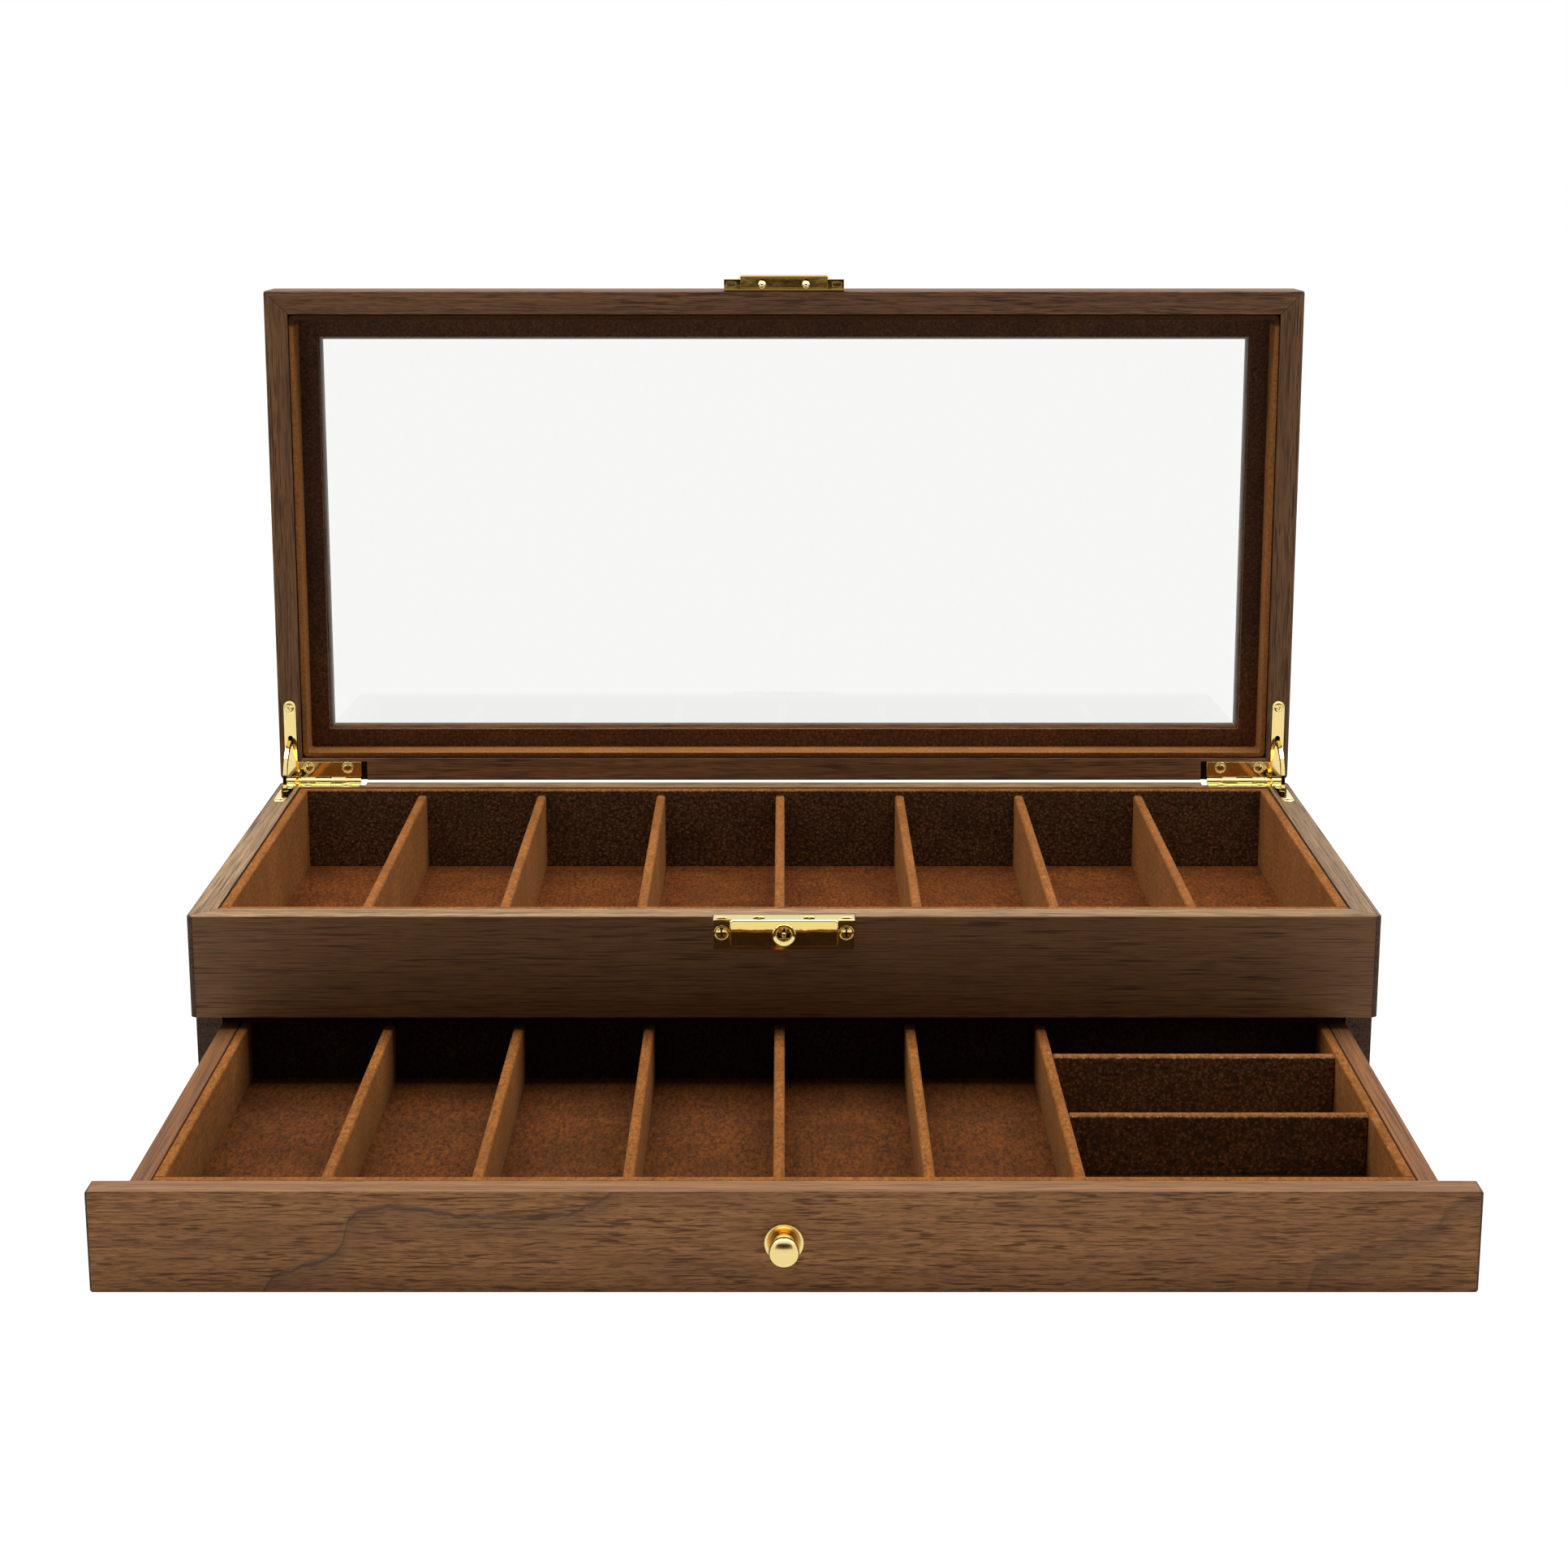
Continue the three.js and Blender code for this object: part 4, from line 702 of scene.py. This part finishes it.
moved = [crisp_corners(finished["drawer_front"].data, LAID_FLAT, HALF_WIDTH, DRAWER_HALF_HEIGHT)]
for name in ("lid_front_rail", "lid_left_rail", "lid_right_rail"):
    moved.append(crisp_corners(finished[name].data, SHUT, HALF_WIDTH, LID_HALF_DEPTH, front_only=True))
print("vertices drawn out on the drawer front and three rails:", moved)

# %% [markdown]
# ## Suede-wrapped boards
# Each lining and divider is its own wrapped board. The wrap turns over the edge with a soft
# radius, so the same easing is used with a wider, rounder bevel. Walls that face front or
# back wear the raked copies of the suede, with their painted shade and glints, but their top
# edges look up into the light like all the others and keep the plain suede.

# %% Wrap the linings, floors and dividers
def top_edge(centre, normal):
    """The plain suede on a wall's top edge, the raked copy with its painted shade and glints on its faces.
    """
    return 1 if normal.z > 0.6 else 0


raked = {"case_lining_back": wall_suede, "case_lining_front": wall_suede, "drawer_lining_back": deep_suede_painted_shade,
         "drawer_lining_front": deep_suede_painted_shade, "drawer_cross_divider_1": drawer_cell_suede_painted_light,
         "drawer_cross_divider_2": drawer_cell_suede_painted_light}
skins = {"case_floor_lining": floor_suede, "drawer_floor_lining": drawer_floor_suede,
         "lid_lining": band_suede, "glass_retainer": frame_suede}
wrapped = [name for name in nodes if "lining" in name or "divider" in name or name == "glass_retainer"]
for name in wrapped:
    if name in raked:
        finished[name] = eased(name, (raked[name], tan_suede), "_wrapped", 0.35, 3, pick=top_edge)
    else:
        skin = drawer_wall_suede if name.startswith("drawer_") else tan_suede
        finished[name] = eased(name, (skins.get(name, skin),), "_wrapped", 0.35, 3)
print("wrapped pieces:", len(wrapped))

# %% [markdown]
# ## The knob
# The knob is a brass button on a dished flange, turned on a lathe. The same is done here with
# a profile of points, whose shoulders are rounder than those of the model's plain solid.

# %% Turn the knob
TURN_STEPS = 72


def turned(name, profile, centre, *finishes):
    """A body turned about a line along Y, from (radius, distance forward) pairs in mm."""
    shape = bmesh.new()
    outline = [shape.verts.new((radius * MM, -forward * MM, 0)) for radius, forward in profile]
    edges = [shape.edges.new(pair) for pair in zip(outline, outline[1:])]
    bmesh.ops.spin(shape, geom=outline + edges, axis=(0, 1, 0), cent=(0, 0, 0), steps=TURN_STEPS,
                   angle=math.tau, use_merge=True)
    bmesh.ops.remove_doubles(shape, verts=shape.verts, dist=SLIVER)
    bmesh.ops.recalc_face_normals(shape, faces=shape.faces)
    bmesh.ops.translate(shape, verts=shape.verts, vec=Vector(centre) * MM)
    for face in shape.faces:
        face.smooth = True
    mesh = bpy.data.meshes.new(name)
    shape.to_mesh(mesh)
    shape.free()
    for finish in finishes:
        mesh.materials.append(finish)
    body = bpy.data.objects.new(name, mesh)
    bpy.context.scene.collection.objects.link(body)
    return body


knob_seat = (0, -252.5, 16.6)
knob_profile = [
    (0, 0), (5.5, 0), (5.66, 0.06), (5.7, 0.2), (5.7, 0.66), (5.66, 0.8), (5.55, 0.88), (5.35, 0.9),
    (4.9, 0.89), (4.5, 0.85), (4.1, 0.75), (3.7, 0.6), (3.3, 0.42), (3.0, 0.32), (2.8, 0.3), (2.8, 5.6),
    (2.9, 5.9), (3.2, 6.15), (3.8, 6.4), (4.25, 6.6), (4.38, 6.8), (4.4, 7.05), (4.4, 7.6), (4.34, 8.0),
    (4.2, 8.3), (3.95, 8.6), (3.6, 8.86), (3.2, 9.07), (2.8, 9.25), (2.2, 9.46), (1.6, 9.62), (0.8, 9.76),
    (0, 9.8)]
# the painted amber reflection reaches this far out in the dish and this far forward on the neck, in mm
REFLECTION_RADIUS, REFLECTION_REACH = 3.45, 4.5
knob = turned("drawer_knob_satin", knob_profile, knob_seat, satin_gilt, knob_neck_gilt_painted_reflection)
for face in knob.data.polygons:
    from_seat = face.center / MM - Vector(knob_seat)
    amber_reflection_painted = math.hypot(from_seat.x, from_seat.z) < REFLECTION_RADIUS and from_seat.y > -REFLECTION_REACH
    face.material_index = int(amber_reflection_painted)
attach(knob, body_of(nodes["drawer_knob"])[0])
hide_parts("drawer_knob")
finished["drawer_knob"] = knob
print("faces of the knob:", len(knob.data.polygons))

# %% [markdown]
# ## Stamped and plated fittings
# Stampings have crisp but rolled edges, so their bevel is only a tenth of a millimetre or so.
# It gives each leaf, knuckle and stay the fine bright outline of plate. A turned cutter takes
# the dish of the keyhole's ring out of the lock before the bevel, which eases its rim as well.

# %% Plate the fittings
dish_profile = [(0, 0), (2.02, 0), (2.3, 0.5), (2.75, 0.95), (3.65, 1.65), (3.9, 2.6), (0, 2.6)]
dish_cutter = turned("dish_cutter", dish_profile, (0, -100.2, 63.6))
# in mm: how far before the middle the lock's box has its face, and behind it the open catch's base
BOX_REACH = 101.2


def catch_parts(centre, normal):
    """The bright plate on the catch's prongs and ends, the darker copy on its box as painted shade."""
    return 0 if centre.y < BOX_REACH or abs(normal.x) > 0.5 else 1


def lock_face(centre, normal):
    """The rolled plate on the front of the lock's box, the flat plate elsewhere."""
    return 1 if normal.y < -STRAIGHT and abs(centre.y + BOX_REACH) < 0.1 else 0


plated = [name for name in nodes
          if any(word in name for word in ("leaf", "pin", "stay", "lock", "catch", "screw"))]
for name in plated:
    if name == "lock_housing":
        finished[name] = eased(name, (bright_gilt, rolled_gilt), "_plated", 0.15, pick=lock_face,
                               cutter=dish_cutter, clamped=False)
    elif name == "catch_plate":
        finished[name] = eased(name, (bright_gilt, catch_box_gilt_painted_shade), "_plated", 0.12, pick=catch_parts,
                               clamped=False)
    else:
        finished[name] = eased(name, (bright_gilt,), "_plated", 0.1, clamped="leaf" not in name)
bpy.data.objects.remove(dish_cutter)
print("plated pieces:", len(plated))

# %% [markdown]
# ## The pane and the foot
# The pane has ground edges, and the felt is a die-cut sheet glued under the case. Both are
# flat, so a small easing and their finish are all that they need.

# %% Glaze the lid and line the foot
finished["glass_pane"] = eased("glass_pane", (window_glass,), "_glazed", 0.2)
finished["base_felt"] = eased("base_felt", (black_felt,), "_pressed", 0.2)
print("pieces finished:", len(finished), "of", len(nodes))

# %% [markdown]
# ## Screws
# The hinges, lock and catch are held by small countersunk cross-head screws. They are all one
# shape, so one Geometry Nodes tree makes it and sets it on a point for each hole: a cone with
# a low domed crown, less a cross, inside the rolled lip of its hole. The head's sizes are
# inputs, because the hinge screws are smaller than the lock's, and a seeded turn leaves each
# cross at its own angle, as a hand would.

# %% Build the screw tree
HEAD_SIDES, CROWN_RINGS, LIP_SIDES, LIP_SECTION_SIDES = 28, 12, 36, 8
# the crown stops short of the head's edge and the cross is cut past it, as shares of its radius
CROWN_SHARE, CROSS_SHARE = 0.97, 1.15
# the lip runs this far outside the head, and its rolled edge has this radius
LIP_GAP, LIP_THICKNESS = 0.4 * MM, 0.14 * MM


def screw_tree():
    """Countersunk cross-head screws on points, facing along an axis."""
    tree = bpy.data.node_groups.new("countersunk_screws", "GeometryNodeTree")
    tree.interface.new_socket("Geometry", in_out="OUTPUT", socket_type="NodeSocketGeometry")
    for name, kind, default in (
        ("Geometry", "Geometry", None), ("Head radius", "Float", 1.75 * MM),
        ("Shank radius", "Float", 0.85 * MM), ("Head depth", "Float", 1.1 * MM),
        ("Cross width", "Float", 0.5 * MM), ("Cross depth", "Float", 0.6 * MM),
        ("Crown height", "Float", 0.17 * MM), ("Axis", "Vector", (0, 0, 1)), ("Seed", "Int", 3),
        ("Finish", "Material", None),
    ):
        socket = tree.interface.new_socket(name, in_out="INPUT", socket_type="NodeSocket" + kind)
        if default is not None:
            socket.default_value = default
    given = add(tree, "NodeGroupInput").node.outputs
    head = add(tree, "GeometryNodeMeshCone",
               {"Vertices": HEAD_SIDES, "Radius Top": given["Head radius"],
                "Radius Bottom": given["Shank radius"], "Depth": given["Head depth"]})
    drop = add(tree, "ShaderNodeMath", {0: given["Head depth"], 1: -1.0}, operation="MULTIPLY")
    sunk = add(tree, "ShaderNodeCombineXYZ", {2: drop})
    seated = add(tree, "GeometryNodeTransform", {"Geometry": head, "Translation": sunk})
    crown_radius = add(tree, "ShaderNodeMath", {0: given["Head radius"], 1: CROWN_SHARE},
                       operation="MULTIPLY")
    crown = add(tree, "GeometryNodeMeshUVSphere",
                {"Segments": HEAD_SIDES, "Rings": CROWN_RINGS, "Radius": crown_radius})
    flatness = add(tree, "ShaderNodeMath", {0: given["Crown height"], 1: crown_radius}, operation="DIVIDE")
    squashed = add(tree, "ShaderNodeCombineXYZ", {0: 1.0, 1: 1.0, 2: flatness})
    crowned = add(tree, "GeometryNodeTransform", {"Geometry": crown, "Scale": squashed})
    joined = add(tree, "GeometryNodeMeshBoolean", {"Mesh 2": [seated, crowned]}, operation="UNION",
                 solver="EXACT")
    long = add(tree, "ShaderNodeMath", {0: given["Head radius"], 1: CROSS_SHARE}, operation="MULTIPLY")
    deep = add(tree, "ShaderNodeMath", {0: given["Cross depth"], 1: 2.0}, operation="MULTIPLY")
    arms = []
    for wide, high in ((long, given["Cross width"]), (given["Cross width"], long)):
        size = add(tree, "ShaderNodeCombineXYZ", {0: wide, 1: high, 2: deep})
        arms.append(add(tree, "GeometryNodeMeshCube", {"Size": size}))
    cut = add(tree, "GeometryNodeMeshBoolean", {"Mesh 1": joined, "Mesh 2": arms}, operation="DIFFERENCE",
              solver="EXACT")
    lip_radius = add(tree, "ShaderNodeMath", {0: given["Head radius"], 1: LIP_GAP}, operation="ADD")
    lip_path = add(tree, "GeometryNodeCurvePrimitiveCircle", {"Resolution": LIP_SIDES, "Radius": lip_radius})
    lip_section = add(tree, "GeometryNodeCurvePrimitiveCircle",
                      {"Resolution": LIP_SECTION_SIDES, "Radius": LIP_THICKNESS})
    lip = add(tree, "GeometryNodeCurveToMesh", {"Curve": lip_path, "Profile Curve": lip_section})
    screw = add(tree, "GeometryNodeJoinGeometry", {0: [cut, lip]})
    facing = add(tree, "FunctionNodeAlignRotationToVector", {"Vector": given["Axis"]}, axis="Z")
    # a Random Value node for floats has its range in inputs 2 and 3 and its result in output 1
    turn = add(tree, "FunctionNodeRandomValue", {2: 0.0, 3: math.tau, "Seed": given["Seed"]}, 1,
               data_type="FLOAT")
    spin = add(tree, "FunctionNodeAxisAngleToRotation", {"Axis": (0, 0, 1), "Angle": turn})
    aimed = add(tree, "FunctionNodeRotateRotation", {"Rotation": facing, "Rotate By": spin},
                rotation_space="LOCAL")
    placed = add(tree, "GeometryNodeInstanceOnPoints",
                 {"Points": given["Geometry"], "Instance": screw, "Rotation": aimed})
    real = add(tree, "GeometryNodeRealizeInstances", {"Geometry": placed})
    painted = add(tree, "GeometryNodeSetMaterial", {"Geometry": real, "Material": given["Finish"]})
    add(tree, "NodeGroupOutput", {"Geometry": painted})
    return tree


countersunk = screw_tree()
screw_inputs = {item.name: item.identifier for item in countersunk.interface.items_tree
                if item.item_type == "SOCKET" and item.in_out == "INPUT"}
print("screw sizes that can be set:", list(screw_inputs))

# %% [markdown]
# ## Where the screws go
# The holes are at the model's own places: sizes along the leaves and ears, in millimetres.
# The lid's screws are placed on the closed lid and turned open with it.
# The modifier's result is kept as a plain mesh, because the export drops live instances.

# %% Drive the screws
def drive(name, body, points, axis, seed, **sizes):
    """Screws on a body, at points in mm, facing along the axis."""
    mesh = bpy.data.meshes.new(name)
    mesh.from_pydata([Vector(p) * MM for p in points], [], [])
    screws = bpy.data.objects.new(name, mesh)
    bpy.context.scene.collection.objects.link(screws)
    modifier = screws.modifiers.new("screws", "NODES")
    modifier.node_group = countersunk
    for label, value in {"Axis": axis, "Seed": seed, "Finish": bright_gilt, **sizes}.items():
        modifier[screw_inputs[label]] = value
    made = bpy.data.meshes.new_from_object(screws.evaluated_get(bpy.context.evaluated_depsgraph_get()))
    screws.modifiers.clear()
    screws.data = without_slivers(made)
    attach(screws, body)
    print(name, len(points), "screws,", len(made.polygons), "faces")
    return screws


leaf_places = [(188.57, 90.8), (173.22, 90.8), (195.45, 66.7)]
case_places = [(sense * x, y, 68.72) for sense in (-1, 1) for x, y in leaf_places + [(195.45, 87.5)]]
lid_places = [opened((sense * x, y, 69.18)) for sense in (-1, 1) for x, y in leaf_places]
drive("case_hinge_screws", "case", case_places, (0, 0, 1), 4)
drive("lid_hinge_screws", "lid", lid_places, tuple(OPEN @ Vector((0, 0, -1))), 9)
ear = {"Head radius": 2.05 * MM, "Shank radius": 1.0 * MM, "Cross width": 0.6 * MM, "Head depth": 0.95 * MM,
       "Crown height": 0.5 * MM}
drive("lock_screws", "case", [(sense * 20.85, -96.95, 63.2) for sense in (-1, 1)], (0, -1, 0), 5, **ear)
drive("catch_screws", "lid", [opened((sense * 20.3, -97.05, 74.7)) for sense in (-1, 1)],
      tuple(OPEN @ Vector((0, -1, 0))), 7, **ear)

# %% [markdown]
# ## Studio
# The case stands on a white sweep under one broad soft light overhead, with the room filling
# in from all sides. Overhead light makes tops and floors bright and leaves the walls that
# face the viewer dark, as in the photograph. The sweep and the room are white to the camera,
# to glossy rays and to rays through glass, and the sweep still takes the case's shadow.

# %% Set the floor and the room
# the camera sees a tenth of the matt floor through its glow, which leaves the case's shadow
MATT_SHARE = 0.1
# the room lights the case weakly but shows as white
ROOM_LIGHT, ROOM_WHITE = 0.12, 1.0
SWEEP_REACH = 20


def white_for_show(tree):
    """One where a ray comes from the camera, a gloss or glass."""
    rays = add(tree, "ShaderNodeLightPath").node.outputs
    shown = add(tree, "ShaderNodeMath", {0: rays["Is Camera Ray"], 1: rays["Is Glossy Ray"]},
                operation="MAXIMUM")
    return add(tree, "ShaderNodeMath", {0: shown, 1: rays["Is Transmission Ray"]}, operation="MAXIMUM")


sweep_paint, tree = new_material("white_sweep")
matt = add(tree, "ShaderNodeBsdfDiffuse", {"Color": linear("#efefef")})
seen = add(tree, "ShaderNodeLightPath", out="Is Camera Ray")
brightness = add(tree, "ShaderNodeMath", {0: seen, 1: MATT_SHARE, 2: 1.0}, operation="MULTIPLY_ADD")
glow = add(tree, "ShaderNodeEmission", {"Color": (1, 1, 1, 1), "Strength": brightness})
share = add(tree, "ShaderNodeMath", {0: seen, 1: -MATT_SHARE, 2: white_for_show(tree)},
            operation="MULTIPLY_ADD")
mixture = add(tree, "ShaderNodeMixShader", {"Fac": share, 1: matt, 2: glow})
add(tree, "ShaderNodeOutputMaterial", {"Surface": mixture})
sweep_mesh = bpy.data.meshes.new("sweep")
sweep_corners = [(x * SWEEP_REACH, y * SWEEP_REACH, 0) for x, y in ((-1, -1), (1, -1), (1, 1), (-1, 1))]
sweep_mesh.from_pydata(sweep_corners, [], [(0, 1, 2, 3)])
sweep_mesh.materials.append(sweep_paint)
sweep = bpy.data.objects.new("sweep", sweep_mesh)
bpy.context.scene.collection.objects.link(sweep)

room = bpy.data.worlds.new("white_room")
room.use_nodes = True
room.node_tree.nodes.clear()
strength = add(room.node_tree, "ShaderNodeMath",
               {0: white_for_show(room.node_tree), 1: ROOM_WHITE - ROOM_LIGHT, 2: ROOM_LIGHT},
               operation="MULTIPLY_ADD")
backdrop = add(room.node_tree, "ShaderNodeBackground", {"Color": (1, 1, 1, 1), "Strength": strength})
add(room.node_tree, "ShaderNodeOutputWorld", {"Surface": backdrop})
bpy.context.scene.world = room
print("the room lights at", ROOM_LIGHT, "and shows at", ROOM_WHITE)

# %% [markdown]
# ## Lamps and a flag
# A second, small lamp keeps the sweep in front of the drawer white. The black flag behind
# the camera is what the upright gilt faces mirror where they look dark in the photograph.

# %% Hang the lamps and the flag
def soft_light(name, place, target, width, depth, watts):
    """A rectangular softbox aimed at a point."""
    data = bpy.data.lights.new(name, "AREA")
    data.shape = "RECTANGLE"
    data.size = width
    data.size_y = depth
    data.energy = watts
    light = bpy.data.objects.new(name, data)
    light.location = place
    light.rotation_euler = (Vector(target) - Vector(place)).to_track_quat("-Z", "Y").to_euler()
    bpy.context.scene.collection.objects.link(light)
    return light


soft_light("overhead_softbox", (0, 0.25, 1.6), (0, 0.25, 0), 4.5, 1.0, 110)
sweep_light = soft_light("light_on_the_sweep", (0, -0.95, 0.9), (0, -0.95, 0), 1.6, 0.5, 12)
sweep_light.data.spread = math.radians(60)

flag_paint, tree = new_material("black_flag")
cloth = add(tree, "ShaderNodeBsdfDiffuse", {"Color": linear("#080808")})
add(tree, "ShaderNodeOutputMaterial", {"Surface": cloth})
flag_mesh = bpy.data.meshes.new("flag")
# in metres: wider than the view, well behind the camera, and clear of the floor
flag_mesh.from_pydata([(-1.4, -1.9, 0.205), (1.4, -1.9, 0.205), (1.4, -1.9, 1.2), (-1.4, -1.9, 1.2)], [],
                      [(0, 1, 2, 3)])
flag_mesh.materials.append(flag_paint)
flag = bpy.data.objects.new("flag", flag_mesh)
bpy.context.scene.collection.objects.link(flag)
flag.visible_camera = False
flag.visible_transmission = False
print("lamps:", [lamp.name for lamp in bpy.data.lights])
